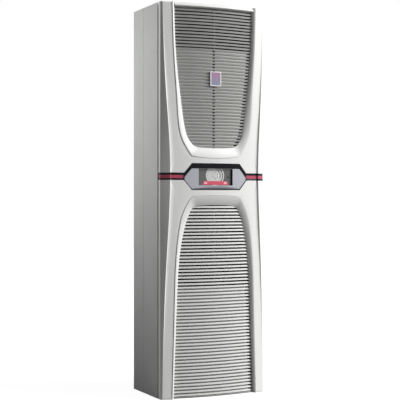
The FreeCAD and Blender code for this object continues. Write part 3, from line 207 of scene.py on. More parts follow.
class LouvreShape(PropertyGroup):
    """Louvre inserts."""

    depth: length("Depth", "Depth of the slats behind the crowned front", 0.011)
    thickness: length("Thickness", "Thickness of the insert behind the slat face", 0.009)
    rim_gap: length("Rim Gap", "Gap between an insert and its cover", 0.0006)
    rim_land: length("Rim Land", "Flat land between the rim and the bevel", 0.0006)
    rim_proud: length("Rim Proud", "How far an insert stands proud of its cover at the sides", 0.0018)
    proud_least: number("Least Proud", "Share of that by which it stands proud in the middle", 0.6)
    bevel_start: number("Bevel Start", "Slope of the bevel at its land, as a share of its mean", 0.44)
    bevel_turn: length("Bevel Turn", "Width of a bevel times the power by which it turns down", 0.085)
    rim_edge: length("Rim Edge", "Rounding of the edges that face each other across the rim gap", 0.0003)
    rim_corner: length("Rim Corner", "Rounding of the rim's corners beside the display", 0.008)
    throat_corner: length("Throat Corner", "Rounding of the throat's corners beside the display", 0.016)
    gap: length("Gap", "Height of the gap between two slats", 0.006)
    upper_lean: length("Upper Lean", "Set back of the trailing edge of an upper slat's face", 0.0042)
    lower_lean: length("Lower Lean", "Set back of the trailing edge of a lower slat's face", 0.0027)
    slope: length("Slope", "Rise of a slat from front to back", 0.001)
    slat_depth: length("Slat Depth", "Depth of a slat from front to back", 0.0082)
    slat_round: length("Slat Round", "Rounding of the front edges of a slat", 0.0008)
    upper_first: length("Upper First", "Level of the first upper gap", 1.5138)
    upper_pitch: length("Upper Pitch", "Pitch of the upper slats", 0.0126)
    upper_count: count("Upper Gaps", "Number of upper gaps", 44)
    upper_open: count("Upper Open Gaps", "Number of upper gaps that are open", 13)
    lower_first: length("Lower First", "Level of the first lower gap", 0.7353)
    lower_pitch: length("Lower Pitch", "Pitch of the lower slats", 0.01303)
    lower_count: count("Lower Gaps", "Number of lower gaps", 56)
    lower_open: count("Lower Open Gaps", "Number of lower gaps that are open", 24)
    end_rail_bevel: length("End Bevel", "Bevel on the rail at the outer end", 0.002)
    foot_lean: length("Foot Lean", "Set back of the bottom edge of the lower end rail", 0.004)
    top_round: length("Top Round", "Radius of the arc along the top rail", 0.024)
    top_slant: angle("Top Slant", "Angle at which that arc meets the front and the top", 26)
    backing_depth: length("Backing Depth", "Depth of the backing plate behind the slat face", 0.0085)
    backing_gap: length("Backing Gap", "Mean gap between the backing plate and the frame", 0.010)
    backing_shift: length("Backing Shift", "How far the backing plate lies off the middle", -0.0055)
    backing_slit: length("Backing Slit", "Half width of the slit between the upper plates", 0.005)
    slit_place: length("Slit Place", "Place of that slit's middle across the unit", -0.0033)
    rib_half: length("Rib", "Half width of the rib behind the slats", 0.002)
    rib_lap: length("Rib Lap", "How far the rib reaches into the insert", 0.001)
    rib_depth: length("Rib Depth", "How far the rib stands out behind the insert", 0.008)
    stud_radius: length("Stud Radius", "Radius of the snap studs", 0.003)
    stud_root: length("Stud Root", "How far a stud reaches into the insert", 0.002)
    stud_taper: length("Stud Taper", "Length over which a stud narrows to its tip", 0.002)
    stud_tip: number("Stud Tip", "Radius of a stud's tip as a share of its own", 0.7)


class DisplayShape(PropertyGroup):
    """Control display with slanted sides."""

    half_wide: length("Half Width", "Half width at the shoulders", 0.136)
    half_narrow: length("Half Top", "Half width of the top and bottom edges", 0.1035)
    shoulder_low: length("Shoulder Low", "Lower shoulder level", 0.846)
    shoulder_high: length("Shoulder High", "Upper shoulder level", 0.8735)
    margin_low: length("Low Margin", "Width of the dark surround along the lower edges", 0.0026)
    margin_slant: length("Slant Margin", "Width of the dark surround along the upper slants", 0.012)
    margin_top: length("Top Margin", "Width of the dark surround along the top", 0.0195)
    ring_depth: length("Ring Depth", "Depth of the walls of the dark surround", 0.012)
    ring_round: length("Ring Round", "Rounding of the edges of the dark surround", 0.0007)
    bezel_set_back: length("Bezel Set Back", "How far the bezel lies behind the crown", 0.001)
    bezel_lip: length("Bezel Lip", "Depth of the wall along the outer edge of the bezel", 0.006)
    bezel_round: length("Bezel Round", "Rounding of the outer edge of the bezel", 0.00028)
    slope_high: length("Slope High", "Level where the sloping lower edge of the bezel starts", 0.824)
    slope_low: length("Slope Low", "Level where that slope ends", 0.8095)
    slope_depth: length("Slope Depth", "How far the slope runs back", 0.008)
    lens_set_back: length("Lens Set Back", "How far the lens lies behind the crown", 0.0095)
    window_strip: length("Window Strip", "Height of the bezel above the screen's window", 0.001)
    window_left: length("Window Left", "How much wider that window is at the left", 0.004)
    print_layer: length("Print Layer", "Step from one layer of marks on the screen to the next", 0.0001)
    dial_shift: length("Dial Shift", "Place of the dial's centre across the unit", -0.002)
    dial_level: length("Dial Level", "Level of the dial's centre", 0.865)
    dial_radius: length("Dial Radius", "Outer radius of the dial", 0.0395)
    bar_half: length("Bar Half Width", "Half width of the lit bar under the dial", 0.0575)
    bar_low: length("Bar Low", "Lower edge of the lit bar", 0.8280)
    bar_high: length("Bar High", "Upper edge of the lit bar", 0.8432)
    bar_taper: length("Bar Taper", "How far the bar's upper corners are drawn in", 0.006)
    spot_left: length("Spot Left", "Place of the bar's left spot across the unit", -0.043)
    spot_right: length("Spot Right", "Place of the bar's right spot across the unit", 0.042)
    spot_half: length("Spot Half Width", "Half width of a spot", 0.007)
    spot_low: length("Spot Low", "Space under a spot on the bar", 0.004)
    spot_high: length("Spot High", "Space over a spot on the bar", 0.003)
    spot_taper: length("Spot Taper", "How far a spot's upper corners are drawn in", 0.002)
    key_left: length("Key Left", "Left edge of the key mark", 0.0505)
    key_right: length("Key Right", "Right edge of the key mark", 0.0615)
    key_low: length("Key Low", "Lower edge of the key mark", 0.854)
    key_high: length("Key High", "Upper edge of the key mark", 0.8635)


class BadgeShape(PropertyGroup):
    """Blank badge plate on the upper slats."""

    proud: length("Proud", "How far the badge stands out from the slat faces", 0.003)
    rim: length("Rim", "Width of the badge's rim", 0.004)
    step: length("Step", "Depth of the rim's inner wall", 0.0012)
    outer_round: length("Outer Round", "Rounding of the rim's outer edge", 0.0006)
    inner_round: length("Inner Round", "Rounding of the rim's inner edge", 0.0004)


class Finish(PropertyGroup):
    """Colours of the finishes, in linear light."""

    casing: colour("Casing", "Powder coat of the sheet-steel casing", (0.695, 0.705, 0.69))
    cover: colour("Cover", "Lacquer of the front covers", (0.765, 0.765, 0.75))
    # The slats and backing plates are of one moulding with the inserts' frames; their darker tone is painted
    # shade
    louvre: colour("Louvre", "Moulding of the slats and backing plates", (0.575, 0.575, 0.56))
    insert: colour("Insert", "Lacquer of the inserts' bevelled frames", (0.70, 0.70, 0.685))
    rib: colour("Rib", "Ribs and studs behind the slats", (0.17, 0.17, 0.165))
    # Dark tone of the parts behind the louvres: painted shade, standing in for the shade inside the unit seen
    # through the gaps
    coated: colour("Coated", "Dark coat of the sheets and fins behind the louvres", (0.080, 0.081, 0.080))
    band: colour("Band", "Gloss of the dark waist band", (0.006, 0.0065, 0.010))
    accent: colour("Accent", "Coloured stripe in the band", (0.44, 0.065, 0.115))
    bezel: colour("Bezel", "Metallic lacquer of the display bezel", (0.40, 0.405, 0.44))
    screen: colour("Screen", "Dark field of the display", (0.075, 0.080, 0.075))
    dial: colour("Dial", "Pale dial on the display", (0.54, 0.545, 0.53))
    bright: colour("Bright", "Pale line and bar on the dial", (0.66, 0.66, 0.64))
    bar: colour("Bar", "Lit bar under the dial", (0.60, 0.05, 0.10))
    spot: colour("Spot", "Spots on the lit bar", (0.80, 0.38, 0.44))
    badge: colour("Badge", "Lower edge of the blank badge plate", (0.21, 0.27, 0.38))
    badge_warm: colour("Badge Warm", "Upper edge of the blank badge plate", (0.40, 0.18, 0.34))
    floor: colour("Floor", "Floor of the studio", (0.20, 0.20, 0.20))


class Studio(PropertyGroup):
    """Camera, lamps and floor."""

    eye: point("Eye", "Camera position", (-1.8684, -3.9503, 0.7692))
    heading: angle("Heading", "Camera turn about the upright axis", -25.321)
    lens: number("Lens", "Focal length in millimetres", 97.40)
    sensor: number("Sensor", "Width of the camera's sensor in millimetres", 36.0)
    key: number("Key", "Power of the lamp at the right", 7885.0, unit="POWER")
    key_place: point("Key Place", "Position of the lamp at the right", (15.92, -10.74, 12.34))
    key_target: point("Key Target", "Point that the lamp at the right looks at", (0, 0, 0.8))
    key_size: length("Key Size", "Side of the lamp at the right", 9.0)
    side: number("Side", "Power of the lamp at the left", 5.15, unit="POWER")
    side_place: point("Side Place", "Position of the lamp at the left", (-1.55, 1.78, 1.1))
    side_target: point("Side Target", "Point that the lamp at the left looks at", (-0.225, 0.03, 1.33))
    side_size: length("Side Size", "Side of the lamp at the left", 0.6)
    side_spread: angle("Side Spread", "Angle over which the lamp at the left spreads", 62)
    ambient: number("Ambient", "Strength of the surrounding light", 0.11)
    floor_half: length("Floor Half", "Half width of the floor", 12.0)
    floor_drop: length("Floor Drop", "How far the floor lies under the unit", 0.0005)


# Settings of the scene, by their names on it
SETTINGS = {"cooler_front": FrontShape, "cooler_louvre": LouvreShape, "cooler_display": DisplayShape,
            "cooler_badge": BadgeShape, "cooler_finish": Finish, "cooler_studio": Studio}


def front():
    return bpy.context.scene.cooler_front


def louvre():
    return bpy.context.scene.cooler_louvre


def display():
    return bpy.context.scene.cooler_display


def finish():
    return bpy.context.scene.cooler_finish


# Curves and surfaces of the front

def crown_depth(x, inset=0.0):
    """Depth of the crowned front: a circle in plan about an upright axis, drawn in by the inset."""
    radius = front().crown_radius
    return CAD_LOW.y + radius - np.sqrt((radius - inset) ** 2 - np.square(x))


def on_crown(x, z, inset=0.0):
    """Points of the front, or of the surface inside it by the inset, at a width and a level."""
    x, z, inset = np.broadcast_arrays(x, z, inset)
    return np.stack([x, crown_depth(x, inset), z], axis=-1)


def crown_corners(lines):
    """Rows of corners through pairs of a line and an inset, each line laid on the surface inside the crown.

    A row holds one corner of each pair.
    """
    return np.stack([on_crown(line[:, 0], line[:, 1], inset) for line, inset in lines], axis=1)


def spread_share(level):
    """Share of the crease's spread: d squared over the sum of d squared and the reach squared.

    d is the way from the waist.
    """
    shape = front()
    distance = level - shape.waist_level
    reach = np.where(distance > 0, shape.reach_up, shape.reach_down)
    return distance ** 2 / (distance ** 2 + reach ** 2)


def crease_half(level):
    """Half width of the crease: the waist plus the share of the spread."""
    return front().crease_waist + front().crease_spread * spread_share(level)


def on_front(x, z, inset=0.0):
    """The crown with its lip: the lip's height times the cube of the way across it.

    The lip dies out as the share of the spread grows.
    """
    shape = front()
    points = on_crown(x, z, inset)
    across = np.clip((points[..., 0] - crease_half(points[..., 2])) / shape.lip_width + 1, 0, 1)
    strength = (shape.lip_gone - spread_share(points[..., 2])) / (shape.lip_gone - shape.lip_full)
    points[..., 1] -= shape.lip_height * np.clip(strength, 0, 1) * across ** 3
    return points


def lip_shares(reach):
    """Steps from nought to one along lines of the given lengths, close together over the lip at their end.

    The lip takes up half of a line at most.
    """
    lip = np.minimum(front().lip_width / np.asarray(reach, float), 0.5)[:, None]
    crown = np.linspace(0, 1, CROWN_STEPS) * (1 - lip)
    return np.concatenate([crown, 1 - lip * np.linspace(1, 0, LIP_STEPS)[1:]], axis=1)


def natural_spline(points, share):
    """Natural cubic spline through points by chord length; its second slopes solve a small linear system."""
    chord = np.linalg.norm(np.diff(points, axis=0), axis=1)
    knots = np.concatenate([[0.0], np.cumsum(chord)]) / chord.sum()
    step = np.diff(knots)
    inner = np.arange(1, len(points) - 1)
    system = np.eye(len(points))
    system[inner, inner - 1] = step[:-1]
    system[inner, inner] = 2 * (step[:-1] + step[1:])
    system[inner, inner + 1] = step[1:]
    grade = np.diff(points, axis=0) / step[:, None]
    right = np.zeros_like(points)
    right[inner] = 6 * np.diff(grade, axis=0)
    second = np.linalg.solve(system, right)
    cell = np.clip(np.searchsorted(knots, share, side="right") - 1, 0, len(step) - 1)
    after = ((share - knots[cell]) / step[cell])[:, None]
    before = 1 - after
    bend = (before ** 3 - before) * second[cell] + (after ** 3 - after) * second[cell + 1]
    return before * points[cell] + after * points[cell + 1] + bend * (step[cell] ** 2 / 6)[:, None]


def along(curve, places):
    """Points of a polyline at given lengths from its start."""
    run = np.concatenate([[0.0], np.cumsum(np.linalg.norm(np.diff(curve, axis=0), axis=1))])
    return np.stack([np.interp(places, run, column) for column in curve.T], axis=-1)


def curve_length(curve):
    """Sum of the lengths of a polyline's edges."""
    return np.linalg.norm(np.diff(curve, axis=0), axis=1).sum()


def bezier(start, corner, end, share):
    """Quadratic curve that leaves one point towards a corner and arrives at another from it."""
    return (1 - share) ** 2 * start + 2 * share * (1 - share) * corner + share ** 2 * end


def half_outline(name):
    """Right half of an insert's outline: a spline down the side, a rounded corner and a shallow arc.

    From the corner to the middle, the arc's level changes with the square of the width.
    """
    points = np.array(OUTLINES[name]) * MM
    cap = CAPS[name] * MM
    side = natural_spline(points, np.linspace(0, 1, SPLINE_SAMPLES))
    corner = points[-1]
    x = np.linspace(corner[0], 0, ARC_SAMPLES)
    arc = np.stack([x, cap + (corner[1] - cap) * (x / corner[0]) ** 2], axis=-1)
    reach = louvre().rim_corner if name.endswith("rim") else louvre().throat_corner
    side = along(side, np.linspace(0, curve_length(side) - reach, SIDE_ROWS))
    arc = along(arc, np.linspace(reach, curve_length(arc), CAP_ROWS))
    turn = bezier(side[-1], corner, arc[0], np.linspace(0, 1, CORNER_ROWS + 2)[1:-1, None])
    return np.concatenate([side, turn, arc])


def way_of(insert):
    """One for the upper insert, whose outer end is at the top, and minus one for the lower insert."""
    return 1 if insert == "upper" else -1


def drawn_in(curve, distance, way):
    """Half outline moved towards the inside of its insert, along its own normal."""
    tangent = np.gradient(curve, axis=0)
    tangent /= np.linalg.norm(tangent, axis=1)[:, None]
    moved = curve + way * distance * np.stack([tangent[:, 1], -tangent[:, 0]], axis=-1)
    moved[-1, 0] = 0
    return moved


def rounded_section(corners, radii):
    """Section lines through rows of corners, with a quadratic curve of the given reach at each round one."""
    share = np.linspace(0, 1, ROUND_STEPS)[:, None, None]
    columns = [corners[:, :1]]
    for index in range(1, corners.shape[1] - 1):
        here = corners[:, index]
        if not radii[index]:
            columns.append(here[:, None])
            continue
        ends = []
        for other in (corners[:, index - 1], corners[:, index + 1]):
            way = other - here
            size = np.linalg.norm(way, axis=1)[:, None]
            reach = np.minimum(radii[index], ROUND_SHARE * size)
            ends.append(here + way / np.maximum(size, SHORTEST) * reach)
        columns.append(np.moveaxis(bezier(ends[0], here, ends[1], share), 0, 1))
    columns.append(corners[:, -1:])
    return np.concatenate(columns, axis=1)


def mirrored(grid):
    """The same surface on the other side, still facing outwards."""
    return (grid * np.array([-1, 1, 1]))[:, ::-1]


def both_sides(grids):
    """The grids of a right half and their mirror images."""
    return grids + [mirrored(grid) for grid in grids]


# Meshes

def welded(grids):
    """Points and faces of several grids, with equal points merged and collapsed quads made triangles."""
    points = np.concatenate([grid.reshape(-1, 3) for grid in grids])
    quads = []
    start = 0
    for grid in grids:
        rows, columns = grid.shape[:2]
        index = np.arange(rows * columns).reshape(rows, columns) + start
        cells = [index[:-1, :-1], index[:-1, 1:], index[1:, 1:], index[1:, :-1]]
        quads.append(np.stack(cells, axis=-1).reshape(-1, 4))
        start += rows * columns
    quads = np.concatenate(quads)
    keys = np.round(points / WELD_STEP).astype(np.int64)
    _, first, place = np.unique(keys, axis=0, return_index=True, return_inverse=True)
    quads = place.reshape(-1)[quads]
    kept = quads != np.roll(quads, -1, axis=1)
    corners = kept.sum(axis=1)
    triangles = quads[corners == 3][kept[corners == 3]].reshape(-1, 3)
    return points[first], quads[corners == 4], triangles


def facing(mesh, outward):
    """Flip a mesh whose faces look, on the whole, against the outward direction or, with none, inwards."""
    total = len(mesh.polygons)
    normals = np.empty(total * 3)
    areas = np.empty(total)
    centres = np.empty(total * 3)
    mesh.polygons.foreach_get("normal", normals)
    mesh.polygons.foreach_get("area", areas)
    mesh.polygons.foreach_get("center", centres)
    normals = normals.reshape(-1, 3)
    centres = centres.reshape(-1, 3)
    lever = np.array(outward) if outward else centres - centres.mean(axis=0)
    if ((normals * lever).sum(axis=1) * areas).sum() < 0:
        mesh.flip_normals()


def sharp_rims(mesh):
    """Mark open edges as sharp, so that a wall's rim doesn't bend the shading of the face beside it."""
    sides = np.empty(len(mesh.loops), dtype=np.int32)
    mesh.loops.foreach_get("edge_index", sides)
    sharp = np.empty(len(mesh.edges), dtype=bool)
    mesh.edges.foreach_get("use_edge_sharp", sharp)
    mesh.edges.foreach_set("use_edge_sharp", sharp | (np.bincount(sides, minlength=len(sharp)) < 2))


def make_piece(name, grids, finish_name, body="casing", outward=FRONT, wall=0.0, replaced=()):
    """Mesh object at the origin from surface grids; a wall closes an open shell behind its outer face."""
    points, quads, triangles = welded(grids)
    mesh = bpy.data.meshes.new(name)
    mesh.from_pydata(points.tolist(), [], quads.tolist() + triangles.tolist())
    mesh.validate()
    mesh.update()
    facing(mesh, outward)
    mesh.shade_smooth()
    mesh.set_sharp_from_angle(angle=SHARP_ANGLE)
    sharp_rims(mesh)
    mesh.materials.append(finish_material(finish_name))
    piece = bpy.data.objects.new(name, mesh)
    bpy.context.scene.collection.objects.link(piece)
    if wall:
        thick = piece.modifiers.new("Wall", "SOLIDIFY")
        thick.thickness = wall
        thick.offset = -1
    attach(piece, body)
    if replaced:
        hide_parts(*replaced)
    return piece


# Covers

def waist_edge(insert):
    """Edge of a cover beside the waist, as two lines.

    The flank runs from the crease along the band and up or down the display's slant. The cap goes on from
    there to the middle.
    """
    shape = display()
    low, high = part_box("display_surround")
    band_low, band_high = (corner.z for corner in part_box("side_band_left"))
    gap = front().waist_gap
    play = 2 * gap
    if insert == "upper":
        level, shoulder, end = band_high + gap, shape.shoulder_high, high.z + play
        bend = max(shoulder, level)
    else:
        level, shoulder, end = band_low - gap, shape.shoulder_low, low.z - play
        bend = min(shoulder, level)
    share = max(0.0, (level - shoulder) / (end - shoulder))
    knee = shape.half_wide + play - (shape.half_wide - shape.half_narrow) * share
    corner = (shape.half_narrow + play, end)
    flank = [(crease_half(level), level), (knee, level), (knee, bend), corner]
    return np.array(flank), np.array([corner, (0, end)])


def snapped(points, corners):
    """Nearest points of a polyline's sampling moved onto its corners, so that the corners stay sharp."""
    gaps = np.linalg.norm(points[:, None] - corners[None], axis=2)
    nearest = gaps.argmin(axis=0)
    moved = points.copy()
    moved[nearest[1:]] = corners[1:]
    return moved


def cover_grids(insert):
    """Right half of a cover: rulings from the insert's rim over the crown, down the facet and along the side.

    The rim's rows answer the crease, then the edge along the band and the display's slant, then the middle.
    """
    shape = front()
    rim = half_outline(f"{insert}_rim")
    flank, cap = waist_edge(insert)
    outer = OUTLINES[f"{insert}_rim"][0][1] * MM
    turn = SIDE_ROWS - FLANK_ROWS
    levels = np.linspace(outer, flank[0, 1], turn)
    crease = np.stack([crease_half(levels), levels], axis=-1)
    fine = np.linspace(0, shape.lip_width, LIP_STEPS)
    coarse = np.linspace(shape.lip_width, curve_length(flank), FLANK_ROWS + CORNER_ROWS + 2 - LIP_STEPS)
    waist = snapped(along(flank, np.concatenate([fine[1:], coarse[1:]])), flank)
    middle = along(cap, np.linspace(0, curve_length(cap), CAP_ROWS + 1)[1:])
    border = np.concatenate([crease, waist, middle])
    shares = lip_shares(np.linalg.norm(border - rim, axis=1))
    plan = rim[:, None] + shares[..., None] * (border - rim)[:, None]
    crown = on_front(plan[..., 0], plan[..., 1])
    inwards = np.array([0, 2 * shape.wall, 0])
    lip = crown[:, :1] + inwards
    lip[:turn, :, 0] -= louvre().rim_edge
    rear_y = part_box(f"{insert}_front_cover")[1].y
    half = np.full_like(levels, CAD_HIGH.x)
    root = np.stack([half, np.full_like(half, rear_y - shape.side_depth), levels], axis=-1)
    rear = np.stack([half, np.full_like(half, rear_y), levels], axis=-1)
    rounds = [0, shape.rim_round] + [0] * (crown.shape[1] - 2)
    side = np.concatenate([lip[:turn], crown[:turn], root[:, None], rear[:, None]], axis=1)
    side = rounded_section(side, rounds + [shape.crease_round, shape.edge_round, 0])
    middle = np.concatenate([lip, crown, crown[:, -1:] + inwards], axis=1)[turn - 1:]
    middle = rounded_section(middle, rounds + [shape.edge_round, 0])
    end = side[:1].copy()
    end[..., 1] = rear_y
    side = np.swapaxes(np.concatenate([end, side]), 0, 1)
    side = rounded_section(side, [0, shape.end_round] + [0] * (turn - 1))
    return [np.swapaxes(side, 0, 1), middle]


# Louvre inserts

def insert_frame_grids(insert):
    """Right half of an insert's frame: lip, rim, bevel, the throat's wall and a flat outer end.

    The rim stands proud of its cover by an amount that falls off, with the width, towards the middle. The
    bevel falls by a share of the way across it plus a share of a power of that way, which is higher where
    the bevel is narrow.
    """
    shape = louvre()
    way = way_of(insert)
    rim = half_outline(f"{insert}_rim")
    edge = drawn_in(rim, shape.rim_gap, way)
    land = drawn_in(rim, shape.rim_gap + shape.rim_land, way)
    throat = half_outline(f"{insert}_throat")
    back = shape.depth + shape.thickness
    corner = OUTLINES[f"{insert}_rim"][-1][0] * MM
    face = -shape.rim_proud * np.clip(rim[:, 0] / corner, shape.proud_least, 1)
    lines = [(edge, back), (edge, face), (land, face)]
    power = np.clip(shape.bevel_turn / np.linalg.norm(throat - land, axis=1), *BEVEL_POWERS)
    for share in np.sin(np.linspace(0, math.pi / 2, BEVEL_STEPS + 1))[1:]:
        fall = shape.bevel_start * share + (1 - shape.bevel_start) * share ** power
        lines.append((land + share * (throat - land), face + fall * (shape.depth - face)))
    lines.append((throat, back))
    rounds = [0, shape.rim_edge] + [0] * BEVEL_STEPS + [front().edge_round, 0]
    section = rounded_section(crown_corners(lines), rounds)
    end = section[0, 1:-1].copy()
    end[:, 1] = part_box(f"{insert}_front_cover")[1].y
    return [section, np.stack([end, section[0, 1:-1]])]


def closed_profile(corners, radii):
    """Closed profile with rounded corners, starting and ending at one point."""
    corners = np.asarray(corners, float)
    around = np.concatenate([corners[-1:], corners, corners[:1]])[None]
    padded = np.concatenate([around, np.zeros((1, around.shape[1], 1))], axis=2)
    loop = rounded_section(padded, [0] + list(radii) + [0])[0, 1:-1, :2]
    return np.concatenate([loop, loop[:1]])


def swept_bars(profile, halves, levels, stations):
    """Bars about the crown's axis: a profile of inset and height, carried across and closed at the ends."""
    share = np.linspace(-1, 1, stations)
    x = np.asarray(halves)[:, None, None] * share[None, :, None]
    x = np.broadcast_to(x, (len(halves), stations, len(profile)))
    z = np.asarray(levels)[:, None, None] + profile[None, None, :, 1]
    bars = on_crown(x, np.broadcast_to(z, x.shape), np.broadcast_to(profile[None, None, :, 0], x.shape))
    middle = np.broadcast_to(bars[:, :, :-1].mean(axis=2, keepdims=True), bars.shape)
    return list(np.concatenate([middle[:, :1], bars, middle[:, -1:]], axis=1))


def throat_half(insert, levels):
    """Half width of the throat at each level, held at its corner beyond the ends of the side."""
    side = half_outline(f"{insert}_throat")[:SIDE_ROWS]
    order = np.argsort(side[:, 1])
    return np.interp(levels, side[order, 1], side[order, 0])


def slat_grids(insert):
    """Leaning slats: the face slopes back by the lean, and the slat rises to its rear by the slope.

    Each slat lies half a pitch from the gaps beside it, and the first one lies outside the first gap.
    """
    shape = louvre()
    way = way_of(insert)
    pitch = getattr(shape, f"{insert}_pitch")
    half = (pitch - shape.gap) / 2
    start = shape.depth
    rear = start + shape.slat_depth
    lean = getattr(shape, f"{insert}_lean")
    corners = [(start, way * half), (start + lean, -way * half), (rear, way * (shape.slope - half)),
               (rear, way * (shape.slope + half))]
    profile = closed_profile(corners, (shape.slat_round, shape.slat_round, 0, 0))
    numbers = np.arange(-1, getattr(shape, f"{insert}_count")) + 0.5
    levels = getattr(shape, f"{insert}_first") - numbers * pitch
    levels = levels[way * (levels - CAPS[f"{insert}_throat"] * MM) > 0]
    widths = [throat_half(insert, levels + step) for step in (-half, half)]
    return swept_bars(profile, np.maximum(*widths) + shape.rim_land, levels, SLAT_STATIONS)


def end_rail_grids(insert):
    """Rail between the throat's sides at the outer end of an insert, with its skirt back to the carrier.

    The upper rail stands out to the front and is rounded along its top; the lower one leans back like a slat.
    """
    shape = louvre()
    way = way_of(insert)
    half, outer = (value * MM for value in OUTLINES[f"{insert}_throat"][0])
    inner = RAIL_EDGES[insert] * MM
    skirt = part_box("upper_front_cover")[1].y - crown_depth(half)
    back = shape.depth + shape.thickness
    tall = outer - inner
    if insert == "upper":
        radius = shape.top_round
        centre = radius * math.cos(shape.top_slant)
        turn = np.linspace(shape.top_slant, math.pi / 2 - shape.top_slant, TOP_STEPS)
        shoulder = list(zip(centre - radius * np.cos(turn), tall - centre + radius * np.sin(turn)))
        shown = [(0, shape.end_rail_bevel)] + shoulder
        rounds = [front().edge_round] + [0] * len(shoulder)
    else:
        shown = [(shape.depth + shape.foot_lean, tall)]
        rounds = [shape.slat_round]
    inside = tall - way * front().wall
    corners = [(back, 0), (shape.depth, 0)] + shown + [(skirt, tall), (skirt, inside), (back, inside)]
    profile = closed_profile(corners, [0, shape.slat_round / 2] + rounds + [0, 0, 0])
    return swept_bars(profile, [half], [inner], RAIL_STATIONS)


def blind_edge(insert):
    """Level where the open slats end and the blind ones begin."""
    shape = louvre()
    open_gaps = getattr(shape, f"{insert}_open") - 0.5
    return getattr(shape, f"{insert}_first") - open_gaps * getattr(shape, f"{insert}_pitch")


def rib_and_stud_grids(insert):
    """Upright rib behind the open slats and four round studs that snap into the carrier's sockets."""
    shape = louvre()
    back = shape.depth + shape.thickness
    open_end = RAIL_EDGES["upper"] if insert == "upper" else CAPS["lower_throat"]
    low, high = sorted((open_end * MM, blind_edge(insert)))
    near, far = back - shape.rib_lap, back + shape.rib_depth
    profile = closed_profile([(near, low), (near, high), (far, high), (far, low)], (0, 0, 0, 0))
    grids = swept_bars(profile, [shape.rib_half], [0.0], RIB_STATIONS)
    turn = np.linspace(0, 2 * math.pi, STUD_SIDES + 1)
    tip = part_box(f"{insert}_grille")[1].y
    radius = shape.stud_radius * np.array([0, 1, 1, shape.stud_tip, 0])[:, None]
    for half, level in STUDS[insert]:
        for x in (-half * MM, half * MM):
            root = crown_depth(x, back - shape.stud_root)
            y = np.array([root, root, tip - shape.stud_taper, tip, tip])[:, None]
            stud = [x + radius * np.cos(turn), y + 0 * turn, level * MM - radius * np.sin(turn)]
            grids.append(np.stack(stud, axis=-1))
    return grids


def backing_grids(insert):
    """Plate close behind the slats of the blind end, short of the frame; the upper one is slit."""
    shape = louvre()
    blind = (CAPS["upper_throat"] if insert == "upper" else RAIL_EDGES["lower"]) * MM
    levels = np.linspace(blind_edge(insert), blind, BACKING_ROWS)
    outer = throat_half(insert, levels) - shape.backing_gap
    share = np.linspace(0, 1, BACKING_COLUMNS)
    back = np.array([0, front().wall, 0])
    start, end = shape.backing_shift - outer, shape.backing_shift + outer
    spans = [(start, end)]
    if insert == "upper":
        spans = [(start, shape.slit_place - shape.backing_slit), (shape.slit_place + shape.backing_slit, end)]
    grids = []
    for span in spans:
        start, end = (np.broadcast_to(limit, levels.shape)[:, None] for limit in span)
        face = on_crown(start + share * (end - start), levels[:, None], shape.depth + shape.backing_depth)
        grid = np.concatenate([face[:, :1] + back, face, face[:, -1:] + back], axis=1)
        grids.append(np.concatenate([grid[:1] + back, grid, grid[-1:] + back]))
    return grids


# Waist bands

def band_grid(low, high, inset, lip, foot=None):
    """Right half of a band round the waist: a section over the crown, facet and side between two levels.

    The lower edge may have an inset of its own, the foot, so that the band slopes out to it.
    """
    shape = front()
    rear_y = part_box("side_band_right")[1].y
    levels = np.array([low, low, high, high])
    insets = np.repeat([inset if foot is None else foot, inset], 2)
    half = crease_half(levels)
    start = display().half_wide + 2 * shape.waist_gap
    x = start + lip_shares(half - start) * (half[:, None] - start)
    crown = on_front(x, levels[:, None], insets[:, None])
    side = CAD_HIGH.x - insets
    root = np.stack([side, rear_y - shape.side_depth + insets / 2, levels], axis=-1)
    rear = np.stack([side, np.full_like(levels, rear_y), levels], axis=-1)
    corners = np.concatenate([crown, root[:, None], rear[:, None]], axis=1)
    section = rounded_section(corners, [0] * (x.shape[1] - 1) + [shape.crease_round, shape.edge_round, 0])
    inwards = np.gradient(section, axis=1)
    inwards = np.stack([inwards[..., 1], -inwards[..., 0], np.zeros_like(inwards[..., 0])], axis=-1)
    inwards /= np.linalg.norm(inwards, axis=2, keepdims=True)
    section[[0, -1]] -= lip * inwards[[0, -1]]
    return section


# Display and badge

def display_outline(low=0.0, slant=0.0, top=0.0):
    """Corners of the display, drawn in by margins below, on the upper slants and along the top."""
    shape = display()
    box_low, box_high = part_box("display_surround")
    run = shape.half_wide - shape.half_narrow
    right = []
    for shoulder, end, edge, side in ((shape.shoulder_low, box_low.z, low, low),
                                      (shape.shoulder_high, box_high.z, top, slant)):
        rise = abs(end - shoulder)
        way = (end - shoulder) / rise
        slope = math.hypot(run, rise)
        corner = (shape.half_wide - ((rise - edge) * run + side * slope) / rise, end - way * edge)
        knee = (shape.half_wide - low, shoulder - way * (side * slope - low * rise) / run)
        right += [corner, knee] if way < 0 else [knee, corner]
    return np.array(right + [(-x, z) for x, z in reversed(right)])


def closed_edges(corners, steps=EDGE_STEPS):
    """Even points along the edges of a closed polygon, ending where they start."""
    ends = np.roll(corners, -1, axis=0)
    share = np.arange(steps) / steps
    points = corners[:, None] + share[None, :, None] * (ends - corners)[:, None]
    points = points.reshape(-1, 2)
    return np.concatenate([points, points[:1]])


def window(margin=0.0):
    """Edges of the bezel's window in the dark surround, drawn in by a further margin."""
    shape = display()
    margins = (shape.margin_low, shape.margin_slant, shape.margin_top)
    return closed_edges(display_outline(*(width + margin for width in margins)))


def surround_grid():
    """Dark ring between the display's outline and the bezel's window, flush with the crown."""
    outer, inner = closed_edges(display_outline()), window()
    deep, edge = display().ring_depth, display().ring_round
    corners = crown_corners([(outer, deep), (outer, 0), (inner, 0), (inner, deep)])
    return rounded_section(corners, [0, edge, edge, 0])


